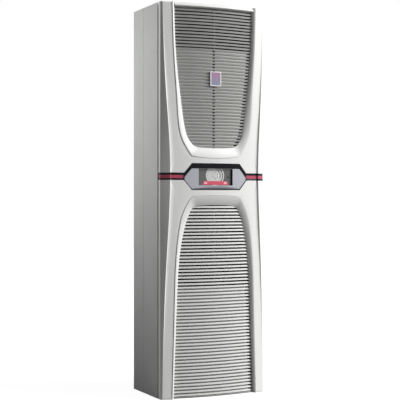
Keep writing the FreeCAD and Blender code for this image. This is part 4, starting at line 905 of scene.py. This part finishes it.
def bezel_depth(x, z):
    """The deeper of the crown behind its set back and of the plane that slopes back under the screen."""
    shape = display()
    share = (shape.slope_high - z) / (shape.slope_high - shape.slope_low)
    plane = CAD_LOW.y + shape.bezel_set_back + np.maximum(share, 0) * shape.slope_depth
    return np.maximum(crown_depth(x, shape.bezel_set_back), np.where(share > 0, plane, CAD_LOW.y))


def on_bezel(plan):
    """Points of the bezel's face at given widths and levels."""
    x, z = plan[..., 0], plan[..., 1]
    return np.stack([x, bezel_depth(x, z), z], axis=-1)


def screen_edges():
    """Left, right, lower and upper edge of the screen's window, which reaches up to the dark surround."""
    shape = display()
    low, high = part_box("display_lens")
    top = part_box("display_surround")[1].z - shape.margin_top - shape.window_strip
    return low.x - shape.window_left, high.x, low.z, top


def screen_rectangle(margin=0.0):
    """Edges of the screen, through eight points that answer the corners of the display's outline."""
    shape = display()
    left, right, bottom, top = screen_edges()
    levels = (bottom + margin, shape.shoulder_low, shape.shoulder_high, top - margin)
    sides = [(right - margin, z) for z in levels] + [(left + margin, z) for z in reversed(levels)]
    return closed_edges(np.array(sides))


def bezel_grid():
    """Metallic frame from the dark surround to the screen, with a slope along its lower edge."""
    outer = window(front().waist_gap)
    share = np.linspace(0, 1, BEZEL_COLUMNS)[None, :, None]
    face = on_bezel(outer[:, None] + share * (screen_rectangle() - outer)[:, None])
    corners = np.concatenate([face[:, :1] + np.array([0, display().bezel_lip, 0]), face], axis=1)
    return rounded_section(corners, [0, display().bezel_round] + [0] * (corners.shape[1] - 2))


def recess_grid():
    """Wall of the screen's recess, from the bezel's window back to the glass, drawn in a little, given the
    dark band gloss as painted shade.
    """
    gap = front().waist_gap
    start = on_bezel(screen_rectangle()) + np.array([0, gap, 0])
    edge = screen_rectangle(gap)
    end = on_crown(edge[:, 0], edge[:, 1], display().lens_set_back + front().edge_round)
    return start[:, None] + np.linspace(0, 1, RECESS_COLUMNS)[None, :, None] * (end - start)[:, None]


def patch(x_low, x_high, z_low, z_high, inset, cells, taper=0.0):
    """Rectangle on the surface inside the crown by the inset, its upper corners drawn in by the taper."""
    columns, rows = cells
    x, z = np.meshgrid(np.linspace(-1, 1, columns), np.linspace(0, 1, rows))
    x = (x_low + x_high) / 2 + x * ((x_high - x_low) / 2 - taper * z)
    return on_crown(x, z_low + z * (z_high - z_low), inset)


def dial_ring(inner, outer, start, end, inset, turns=ARC_TURNS, rows=ARC_ROWS):
    """Part of a ring of the dial, between two shares of its radius and two angles, below the screen's top."""
    shape = display()
    radius, turn = np.meshgrid(np.linspace(inner, outer, rows), np.linspace(start, end, turns))
    radius = radius * shape.dial_radius
    z = np.minimum(shape.dial_level + radius * np.cos(turn), screen_edges()[3])
    return on_crown(shape.dial_shift + radius * np.sin(turn), z, inset)


def dark_marks(inset):
    """Two arcs on the dial's right, short strokes on its left and a ring of dots round its middle."""
    grids = [dial_ring(inner, outer, start * math.pi, end * math.pi, inset)
             for inner, outer, start, end in DIAL_ARCS]
    for inner, outer, half, first, last, total, steps in DIAL_RINGS:
        for turn in np.linspace(first * math.pi, last * math.pi, total):
            grids.append(dial_ring(inner, outer, turn - half, turn + half, inset, steps))
    return grids


def bright_marks(inset):
    """A pale line round the whole dial and a pale bar beside its middle."""
    shape = display()
    near, far, half = (share * shape.dial_radius for share in DIAL_BAR)
    x, z = shape.dial_shift, shape.dial_level
    bar = patch(x + near, x + far, z - half, z + half, inset, DIAL_BAR_GRID)
    return [dial_ring(*DIAL_LINE, 0, 2 * math.pi, inset, DIAL_TURNS), bar]


def screen_marks():
    """Finish and grids of the marks on the screen, on layers one in front of the other."""
    shape = display()
    dial_at, dark_at, bright_at, bar_at, spot_at = shape.lens_set_back - shape.print_layer * np.arange(2, 7)
    bar = (-shape.bar_half, shape.bar_half, shape.bar_low, shape.bar_high)
    lit = (shape.bar_low + shape.spot_low, shape.bar_high - shape.spot_high)
    spots = [patch(x - shape.spot_half, x + shape.spot_half, *lit, spot_at, SPOT_GRID, shape.spot_taper)
             for x in (shape.spot_left, shape.spot_right)]
    key = (shape.key_left, shape.key_right, shape.key_low, shape.key_high)
    return {
        "screen_dial": ("dial_print", [dial_ring(0, 1, 0, 2 * math.pi, dial_at, DIAL_TURNS, DIAL_ROWS)]),
        "screen_marks": ("dark_print", dark_marks(dark_at)),
        "screen_lights": ("bright_print", bright_marks(bright_at)),
        "screen_bar": ("bar_print", [patch(*bar, bar_at, BAR_GRID, shape.bar_taper)]),
        "screen_bar_spots": ("spot_print", spots),
        "screen_keys": ("key_print", [patch(*key, dial_at, KEY_GRID)]),
    }


def badge_edges(margin=0.0):
    """Edges of the badge plate, drawn in by a margin."""
    low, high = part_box("badge_plate")
    left, right = low.x + margin, high.x - margin
    bottom, top = low.z + margin, high.z - margin
    return left, right, bottom, top


def badge_line(margin=0.0):
    """Closed line along the badge plate's edges, drawn in by a margin."""
    left, right, bottom, top = badge_edges(margin)
    corners = [(right, bottom), (right, top), (left, top), (left, bottom)]
    return closed_edges(np.array(corners), BADGE_STEPS)


# Shader node groups

FLOAT = "NodeSocketFloat"
COLOUR = "NodeSocketColor"
# Places of a Mix node's sockets for numbers and for colours
MIX_NUMBERS = (2, 3)
MIX_COLOURS = (6, 7)
NUMBER_RESULT = 0
COLOUR_RESULT = 2
# Scale of the coarse grain as a share of the fine one's
COARSE_SCALE = 0.18
# Height of the grain, in metres
GRAIN_RELIEF = 0.0002


def group(name, inputs, outputs):
    """Empty shader node group with named sockets."""
    tree = bpy.data.node_groups.new(name, "ShaderNodeTree")
    for title, kind, default in inputs:
        socket = tree.interface.new_socket(title, in_out="INPUT", socket_type=kind)
        socket.default_value = default
    for title, kind in outputs:
        tree.interface.new_socket(title, in_out="OUTPUT", socket_type=kind)
    return tree, tree.nodes.new("NodeGroupInput").outputs, tree.nodes.new("NodeGroupOutput").inputs


def node(tree, kind, **values):
    """Node with values for its inputs, in whose names an underscore is a space, or for its settings."""
    made = tree.nodes.new(kind)
    for name, value in values.items():
        title = name.replace("_", " ")
        if title in made.inputs:
            made.inputs[title].default_value = value
        else:
            setattr(made, name, value)
    return made


def join(tree, *pairs):
    """Link each pair's output to its input."""
    for start, end in pairs:
        tree.links.new(start, end)


def grain_group():
    """Fine moulded or sprayed grain: two scales of noise blended into one height."""
    tree, entry, out = group("surface_grain", [("Scale", FLOAT, 900.0), ("Coarse Share", FLOAT, 0.3)],
                             [("Height", FLOAT)])
    place = node(tree, "ShaderNodeTexCoord").outputs["Object"]
    fine = node(tree, "ShaderNodeTexNoise", Detail=3.0, Roughness=0.55)
    coarse = node(tree, "ShaderNodeTexNoise", Detail=2.0, Roughness=0.5)
    smaller = node(tree, "ShaderNodeMath", operation="MULTIPLY")
    smaller.inputs[1].default_value = COARSE_SCALE
    blend = node(tree, "ShaderNodeMix")
    first, second = (blend.inputs[socket] for socket in MIX_NUMBERS)
    join(tree, (place, fine.inputs["Vector"]), (place, coarse.inputs["Vector"]),
         (entry["Scale"], fine.inputs["Scale"]), (entry["Scale"], smaller.inputs[0]),
         (smaller.outputs[0], coarse.inputs["Scale"]), (entry["Coarse Share"], blend.inputs["Factor"]),
         (fine.outputs["Fac"], first), (coarse.outputs["Fac"], second),
         (blend.outputs[NUMBER_RESULT], out["Height"]))
    return tree


def drift_group():
    """Slow change of tone and gloss over a surface, from one broad noise."""
    tree, entry, out = group(
        "slow_drift",
        [("Tone", COLOUR, (0.8, 0.8, 0.8, 1)), ("Second Tone", COLOUR, (0.7, 0.7, 0.7, 1)),
         ("Gloss Low", FLOAT, 0.35), ("Gloss High", FLOAT, 0.5), ("Scale", FLOAT, 6.0)],
        [("Color", COLOUR), ("Roughness", FLOAT)])
    place = node(tree, "ShaderNodeTexCoord").outputs["Object"]
    cloud = node(tree, "ShaderNodeTexNoise", Detail=4.0, Roughness=0.6)
    spread = node(tree, "ShaderNodeMapRange", From_Min=0.3, From_Max=0.7)
    join(tree, (place, cloud.inputs["Vector"]), (entry["Scale"], cloud.inputs["Scale"]),
         (cloud.outputs["Fac"], spread.inputs["Value"]))
    for kind, sockets, result, titles, end in (
            ("RGBA", MIX_COLOURS, COLOUR_RESULT, ("Tone", "Second Tone"), "Color"),
            ("FLOAT", MIX_NUMBERS, NUMBER_RESULT, ("Gloss Low", "Gloss High"), "Roughness")):
        blend = node(tree, "ShaderNodeMix", data_type=kind)
        join(tree, (spread.outputs["Result"], blend.inputs["Factor"]), (blend.outputs[result], out[end]))
        for socket, title in zip(sockets, titles):
            join(tree, (entry[title], blend.inputs[socket]))
    return tree


GROUP_MAKERS = {"surface_grain": grain_group, "slow_drift": drift_group}


def shared_group(tree, name):
    """Place a shared effect in a material, building it the first time."""
    made = tree.nodes.new("ShaderNodeGroup")
    made.node_tree = bpy.data.node_groups.get(name) or GROUP_MAKERS[name]()
    return made


# Materials

# Settings of the marks printed or lit under the display's glass
PRINT = {"gloss": (0.16, 0.22), "grain": 1500.0, "bump": 0.02, "sockets": {"Coat Weight": 0.8}}

# Tone of every finish, by its name among the settings or by its value, and what build_finish makes with it
FINISHES = {
    "casing_powder_coat": {"tone": "casing", "second": 0.965, "gloss": (0.50, 0.60), "grain": 1400.0,
                           "bump": 0.16, "edge": 0.0022, "sockets": {"Specular IOR Level": 0.14}},
    "cover_lacquer": {"tone": "cover", "second": 0.975, "gloss": (0.36, 0.46), "grain": 1100.0, "bump": 0.08},
    # Darker than the insert's frame of the same moulding: painted shade on the slats and backing plates
    "louvre_lacquer": {"tone": "louvre", "second": 0.965, "gloss": (0.40, 0.52), "grain": 1000.0,
                       "bump": 0.10, "sockets": {"Specular IOR Level": 0.25}},
    "insert_lacquer": {"tone": "insert", "second": 0.97, "gloss": (0.38, 0.48), "grain": 1100.0,
                       "bump": 0.08},
    "rib_moulding": {"tone": "rib", "second": 0.9, "gloss": (0.45, 0.6), "bump": 0.1},
    # Dark tone given to the parts behind the louvres as painted shade
    "dark_coat": {"tone": "coated", "second": 0.8, "gloss": (0.45, 0.6), "bump": 0.1, "edge": 0.0006},
    "band_gloss": {"tone": "band", "second": 0.8, "gloss": (0.18, 0.28), "grain": 800.0, "bump": 0.03,
                   "sockets": {"Specular IOR Level": 0.12}},
    "accent_lacquer": {"tone": "accent", "second": 0.9, "gloss": (0.36, 0.44), "bump": 0.05,
                       "sockets": {"Specular IOR Level": 0.3}},
    "bezel_lacquer": {"tone": "bezel", "second": 0.95, "gloss": (0.28, 0.36), "grain": 2600.0, "bump": 0.10,
                      "sockets": {"Metallic": 0.35, "Coat Weight": 0.25}},
    "screen_glass": {"tone": "screen", "second": 0.85, "gloss": (0.10, 0.14), "grain": 500.0, "bump": 0.01,
                     "sockets": {"Coat Weight": 1.0}},
    "dial_print": {"tone": "dial", "glow": 0.12, **PRINT},
    "dark_print": {"tone": "dial", "share": 0.195, "glow": 0.02, **PRINT},
    "bright_print": {"tone": "bright", "glow": 0.15, **PRINT},
    "bar_print": {"tone": "bar", "glow": 0.12, **PRINT},
    "spot_print": {"tone": "spot", "glow": 0.25, **PRINT},
    "key_print": {"tone": "screen", "share": 0.2, **PRINT},
    "badge_field": {"tone": "badge", "upper": "badge_warm", "over": "badge_plate", "gloss": (0.2, 0.3),
                    "grain": 1800.0, "bump": 0.04, "drift": 40.0, "sockets": {"Coat Weight": 0.6}},
    "display_module": {"tone": (0.03, 0.033, 0.036), "second": 0.8, "gloss": (0.3, 0.4), "edge": 0.0006},
    "circuit_board": {"tone": (0.03, 0.16, 0.07), "second": 0.8, "gloss": (0.3, 0.45), "grain": 700.0,
                      "edge": 0.0003, "drift": 60.0},
    "zinc_plate": {"tone": (0.52, 0.53, 0.54), "second": 0.8, "gloss": (0.28, 0.46), "grain": 500.0,
                   "bump": 0.06, "edge": 0.0008, "drift": 28.0, "sockets": {"Metallic": 0.9}},
    "mill_aluminium": {"tone": (0.66, 0.67, 0.69), "second": 0.86, "gloss": (0.26, 0.4), "grain": 700.0,
                       "bump": 0.06, "edge": 0.0004, "drift": 20.0, "sockets": {"Metallic": 0.95}},
    "drawn_copper": {"tone": (0.62, 0.28, 0.16), "second": 0.7, "gloss": (0.2, 0.38), "grain": 600.0,
                     "bump": 0.04, "edge": 0.0004, "drift": 24.0, "sockets": {"Metallic": 1.0}},
    "compressor_enamel": {"tone": (0.014, 0.014, 0.015), "second": 0.8, "gloss": (0.22, 0.32), "grain": 700.0,
                          "bump": 0.1, "edge": 0.0015, "sockets": {"Coat Weight": 0.4}},
    "moulded_rubber": {"tone": (0.016, 0.016, 0.016), "second": 0.8, "gloss": (0.7, 0.85), "grain": 1200.0,
                       "bump": 0.2, "edge": 0.0006},
    "fan_moulding": {"tone": (0.022, 0.022, 0.024), "second": 0.85, "gloss": (0.4, 0.55), "edge": 0.001},
    "socket_moulding": {"tone": (0.028, 0.028, 0.028), "second": 0.85, "gloss": (0.38, 0.5), "grain": 1300.0,
                        "edge": 0.0008},
}

# Finish of the CAD solids in each of the record's material slots
SLOT_FINISHES = {
    "casing_paint": "casing_powder_coat", "cover_white": "cover_lacquer", "grille_white": "louvre_lacquer",
    "band_black": "band_gloss", "accent_pink": "accent_lacquer", "bezel_silver": "bezel_lacquer",
    "display_glass": "screen_glass", "badge_plate": "badge_field", "display_dark": "display_module",
    "board_green": "circuit_board", "zinc_steel": "zinc_plate", "fin_aluminium": "mill_aluminium",
    "copper_tube": "drawn_copper", "black_enamel": "compressor_enamel", "rubber_black": "moulded_rubber",
    "fan_plastic": "fan_moulding", "socket_plastic": "socket_moulding",
}

# Sheets and fins behind the louvres, given a dark tone as painted shade so that they don't show through the
# gaps
PAINTED_SHADE_PARTS = ("front_frame", "divider_panel", "fan_plate", "external_fan_bracket", "condenser_fins",
          "condenser_end_plates", "display_bracket")


def shade(tone, share):
    """A tone with each channel times a share."""
    return tuple(channel * share for channel in tone)


def graded_tone(tree, lower, upper, solid):
    """Colour that changes evenly with the level over a CAD solid's height."""
    low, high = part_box(solid)
    place = node(tree, "ShaderNodeTexCoord")
    level = node(tree, "ShaderNodeSeparateXYZ")
    rise = node(tree, "ShaderNodeMapRange", From_Min=low.z, From_Max=high.z)
    blend = node(tree, "ShaderNodeMix", data_type="RGBA")
    for socket, tone in zip(MIX_COLOURS, (lower, upper)):
        blend.inputs[socket].default_value = (*tone, 1)
    join(tree, (place.outputs["Object"], level.inputs[0]), (level.outputs["Z"], rise.inputs["Value"]),
         (rise.outputs["Result"], blend.inputs["Factor"]))
    return blend.outputs[COLOUR_RESULT]


def build_finish(name, tone, share=1.0, second=0.94, gloss=(0.35, 0.5), grain=900.0, bump=0.12, edge=0.0,
                 drift=6.0, glow=0.0, upper=None, over=None, sockets=None):
    """Material with drifting tone and gloss and a fine grain.

    An edge radius softens the corners of plain solids, and a mark glows in its own tone. A finish with an
    upper tone goes over to it with the level, from the bottom to the top of a CAD solid.
    """
    material = bpy.data.materials.new(name)
    material.use_nodes = True
    tree = material.node_tree
    shader = tree.nodes["Principled BSDF"].inputs
    tone = shade(getattr(finish(), tone) if isinstance(tone, str) else tone, share)
    for title, value in (sockets or {}).items():
        shader[title].default_value = value
    if glow:
        shader["Emission Color"].default_value = (*tone, 1)
        shader["Emission Strength"].default_value = glow
    tones = shared_group(tree, "slow_drift")
    values = {"Tone": (*tone, 1), "Second Tone": (*shade(tone, second), 1), "Gloss Low": gloss[0],
              "Gloss High": gloss[1], "Scale": drift}
    for title, value in values.items():
        tones.inputs[title].default_value = value
    if upper:
        graded = graded_tone(tree, tone, getattr(finish(), upper), over)
        join(tree, (graded, tones.inputs["Tone"]), (graded, tones.inputs["Second Tone"]))
    grains = shared_group(tree, "surface_grain")
    grains.inputs["Scale"].default_value = grain
    raised = node(tree, "ShaderNodeBump", Strength=bump, Distance=GRAIN_RELIEF)
    if edge:
        soft = node(tree, "ShaderNodeBevel", Radius=edge, samples=6)
        join(tree, (soft.outputs["Normal"], raised.inputs["Normal"]))
    join(tree, (tones.outputs["Color"], shader["Base Color"]),
         (tones.outputs["Roughness"], shader["Roughness"]),
         (grains.outputs["Height"], raised.inputs["Height"]), (raised.outputs["Normal"], shader["Normal"]))
    return material


def finish_material(name):
    """Material of a named finish, built the first time."""
    return bpy.data.materials.get(name) or build_finish(name, **FINISHES[name])


# Operators

class COOLER_OT_solids(Operator):
    """Give every solid of the frame the finish of its material slot, and the parts behind the louvres a dark
    tone as painted shade
    """

    bl_idname = "cooler.solids"
    bl_label = "Casing and Inner Solids"

    def execute(self, context):
        for part in frame["record"]["subparts"]:
            solid = frame["nodes"][part["node"]]
            solid.data.materials.clear()
            # Parts behind the louvres take a dark tone as painted shade
            finish_name = "dark_coat" if part["node"] in PAINTED_SHADE_PARTS else SLOT_FINISHES[part["material_slot"]]
            solid.data.materials.append(finish_material(finish_name))
        return {"FINISHED"}


class COOLER_OT_covers(Operator):
    """Build the two crowned front covers with their waisted facets"""

    bl_idname = "cooler.covers"
    bl_label = "Front Covers"

    def execute(self, context):
        for insert in INSERTS:
            make_piece(f"{insert}_cover_moulding", both_sides(cover_grids(insert)), "cover_lacquer",
                       wall=front().wall, replaced=(f"{insert}_front_cover",))
        return {"FINISHED"}


class COOLER_OT_louvres(Operator):
    """Build the bevelled louvre inserts with their slats and backing plates"""

    bl_idname = "cooler.louvres"
    bl_label = "Louvre Inserts"

    def execute(self, context):
        thin = front().wall / 2
        for insert in INSERTS:
            body = f"{insert}_louvre"
            make_piece(f"{body}_frame", both_sides(insert_frame_grids(insert)), "insert_lacquer", body,
                       wall=thin, replaced=(f"{insert}_grille",))
            # The upper rail takes the paler cover lacquer as painted light, and the lower one the darker slat
            # lacquer as painted shade
            rail_painted_tone = "cover_lacquer" if insert == "upper" else "louvre_lacquer"
            for name, grids, finish_name in (("slats", slat_grids(insert), "louvre_lacquer"),
                                             ("rail", end_rail_grids(insert), rail_painted_tone),
                                             ("rib", rib_and_stud_grids(insert), "rib_moulding")):
                make_piece(f"{body}_{name}", grids, finish_name, body, outward=None)
            make_piece(f"{body}_backing", backing_grids(insert), "louvre_lacquer", body, wall=thin)
        return {"FINISHED"}


class COOLER_OT_bands(Operator):
    """Build the dark waist bands and the coloured stripes let into them"""

    bl_idname = "cooler.bands"
    bl_label = "Waist Bands"

    def execute(self, context):
        shape = front()
        low, high = (corner.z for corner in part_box("side_band_right"))
        stripe_low, stripe_high = (corner.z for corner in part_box("accent_stripe_right"))
        inset = shape.band_set_back
        dark = [band_grid(low, stripe_low, inset, shape.wall, 0.0),
                band_grid(stripe_high, high, inset, shape.wall),
                band_grid(stripe_low, stripe_high, 2 * inset, 0.0)]
        stripe = band_grid(stripe_low + shape.waist_gap, stripe_high - shape.waist_gap, inset, inset)
        for side, turned in (("right", np.copy), ("left", mirrored)):
            make_piece(f"waist_band_{side}", [turned(grid) for grid in dark], "band_gloss",
                       wall=shape.wall / 2, replaced=(f"side_band_{side}",))
            make_piece(f"waist_stripe_{side}", [turned(stripe)], "accent_lacquer",
                       replaced=(f"accent_stripe_{side}",))
        return {"FINISHED"}


class COOLER_OT_display(Operator):
    """Build the display: dark surround, metallic bezel, glass and the marks on its screen"""

    bl_idname = "cooler.display"
    bl_label = "Display"

    def execute(self, context):
        make_piece("display_dark_ring", [surround_grid()], "band_gloss", replaced=("display_surround",))
        make_piece("display_metal_bezel", [bezel_grid()], "bezel_lacquer", replaced=("display_bezel",))
        glass = patch(*screen_edges(), display().lens_set_back, GLASS_GRID)
        make_piece("display_glass", [glass], "screen_glass", replaced=("display_lens",))
        # The recess wall of the metallic bezel takes the dark band gloss as painted shade
        make_piece("display_recess", [recess_grid()], "band_gloss")
        for name, (finish_name, grids) in screen_marks().items():
            make_piece(name, grids, finish_name)
        return {"FINISHED"}


class COOLER_OT_badge(Operator):
    """Build the blank badge plate on the upper slats"""

    bl_idname = "cooler.badge"
    bl_label = "Badge Plate"

    def execute(self, context):
        shape = context.scene.cooler_badge
        face = louvre().depth - shape.proud
        outer, inner = badge_line(), badge_line(shape.rim)
        corners = crown_corners([(outer, louvre().depth), (outer, face), (inner, face),
                                 (inner, face + shape.step)])
        ring = rounded_section(corners, [0, shape.outer_round, shape.inner_round, 0])
        make_piece("badge_rim", [ring], "cover_lacquer", "upper_louvre", replaced=("badge_plate",))
        field = patch(*badge_edges(shape.rim / 2), face + shape.step / 2, BADGE_GRID)
        make_piece("badge_blank", [field], "badge_field", "upper_louvre")
        return {"FINISHED"}


def area_lamp(name, place, target, size, power, spread=math.pi):
    """Flat square lamp at a place, turned towards a target, that the camera doesn't see."""
    lamp = bpy.data.lights.new(name, "AREA")
    lamp.shape = "SQUARE"
    lamp.size = size
    lamp.energy = power
    lamp.spread = spread
    holder = bpy.data.objects.new(name, lamp)
    holder.location = place
    holder.rotation_euler = (Vector(target) - Vector(place)).to_track_quat("-Z", "Y").to_euler()
    holder.visible_camera = False
    bpy.context.scene.collection.objects.link(holder)
    return holder


def seen_directly(tree):
    """One for rays from the camera, mirrors and glass, and nought for rays of scattered light."""
    path = tree.nodes.new("ShaderNodeLightPath").outputs
    first = node(tree, "ShaderNodeMath", operation="MAXIMUM")
    both = node(tree, "ShaderNodeMath", operation="MAXIMUM")
    join(tree, (path["Is Camera Ray"], first.inputs[0]), (path["Is Glossy Ray"], first.inputs[1]),
         (first.outputs[0], both.inputs[0]), (path["Is Transmission Ray"], both.inputs[1]))
    return both.outputs[0]


class COOLER_OT_stage(Operator):
    """Add the pale floor, the white surround, two soft lamps and the camera"""

    bl_idname = "cooler.stage"
    bl_label = "Studio"

    def execute(self, context):
        studio = context.scene.cooler_studio
        self.floor(studio)
        self.surround(context.scene, studio.ambient)
        area_lamp("key_lamp", studio.key_place, studio.key_target, studio.key_size, studio.key)
        side = area_lamp("side_lamp", studio.side_place, studio.side_target, studio.side_size, studio.side,
                         studio.side_spread)
        side.visible_glossy = False
        lens = bpy.data.cameras.new("photo_camera")
        lens.lens = studio.lens
        lens.sensor_width = studio.sensor
        lens.sensor_fit = "HORIZONTAL"
        camera = bpy.data.objects.new("photo_camera", lens)
        camera.location = studio.eye
        camera.rotation_euler = (math.radians(90), 0, studio.heading)
        context.scene.collection.objects.link(camera)
        context.scene.camera = camera
        context.scene.view_settings.view_transform = "Standard"
        return {"FINISHED"}

    def floor(self, studio):
        """Wide pale floor that keeps the unit's shadow and goes over into the white surround away from it."""
        line = np.linspace(-studio.floor_half, studio.floor_half, FLOOR_LINES)
        x, y = np.meshgrid(line, line)
        points, quads, _ = welded([np.stack([x, y, np.full_like(x, CAD_LOW.z - studio.floor_drop)], axis=-1)])
        mesh = bpy.data.meshes.new("studio_floor")
        mesh.from_pydata(points.tolist(), [], quads.tolist())
        material = bpy.data.materials.new("studio_floor")
        material.use_nodes = True
        tree = material.node_tree
        shader = tree.nodes["Principled BSDF"].inputs
        values = {"Base Color": (*finish().floor, 1), "Roughness": 0.9, "Specular IOR Level": 0.0,
                  "Emission Color": (1, 1, 1, 1)}
        for title, value in values.items():
            shader[title].default_value = value
        place = node(tree, "ShaderNodeTexCoord")
        distance = node(tree, "ShaderNodeVectorMath", operation="LENGTH")
        fade = node(tree, "ShaderNodeMapRange", From_Min=0.5, From_Max=2.2, To_Min=0.96, To_Max=1.0)
        glow = node(tree, "ShaderNodeMath", operation="MULTIPLY")
        join(tree, (place.outputs["Object"], distance.inputs[0]),
             (distance.outputs["Value"], fade.inputs["Value"]),
             (fade.outputs["Result"], glow.inputs[1]), (seen_directly(tree), glow.inputs[0]),
             (glow.outputs[0], shader["Emission Strength"]))
        mesh.materials.append(material)
        floor = bpy.data.objects.new("studio_floor", mesh)
        bpy.context.scene.collection.objects.link(floor)

    def surround(self, scene, ambient):
        """White to the camera and in reflections, and a dim even light on everything else."""
        world = bpy.data.worlds.new("studio")
        scene.world = world
        world.use_nodes = True
        tree = world.node_tree
        back = tree.nodes["Background"].inputs
        back["Color"].default_value = (1, 1, 1, 1)
        level = node(tree, "ShaderNodeMapRange", To_Min=ambient, To_Max=1.0)
        join(tree, (seen_directly(tree), level.inputs["Value"]), (level.outputs["Result"], back["Strength"]))


STEPS = (COOLER_OT_solids, COOLER_OT_covers, COOLER_OT_louvres, COOLER_OT_bands, COOLER_OT_display,
         COOLER_OT_badge, COOLER_OT_stage)


class COOLER_PT_steps(Panel):
    """Steps that build the cooling unit"""

    bl_label = "Cooling Unit"
    bl_idname = "COOLER_PT_steps"
    bl_space_type = "VIEW_3D"
    bl_region_type = "UI"
    bl_category = "Cooling Unit"

    def draw(self, context):
        for step in STEPS:
            self.layout.operator(step.bl_idname)


def register():
    for group_class in SETTINGS.values():
        bpy.utils.register_class(group_class)
    for name, group_class in SETTINGS.items():
        setattr(bpy.types.Scene, name, PointerProperty(type=group_class))
    for step in STEPS + (COOLER_PT_steps,):
        bpy.utils.register_class(step)


def unregister():
    for step in reversed(STEPS + (COOLER_PT_steps,)):
        bpy.utils.unregister_class(step)
    for name, group_class in reversed(SETTINGS.items()):
        delattr(bpy.types.Scene, name)
        bpy.utils.unregister_class(group_class)


def main():
    register()
    for step in STEPS:
        area, name = step.bl_idname.split(".")
        getattr(getattr(bpy.ops, area), name)()


if __name__ == "__main__":
    main()
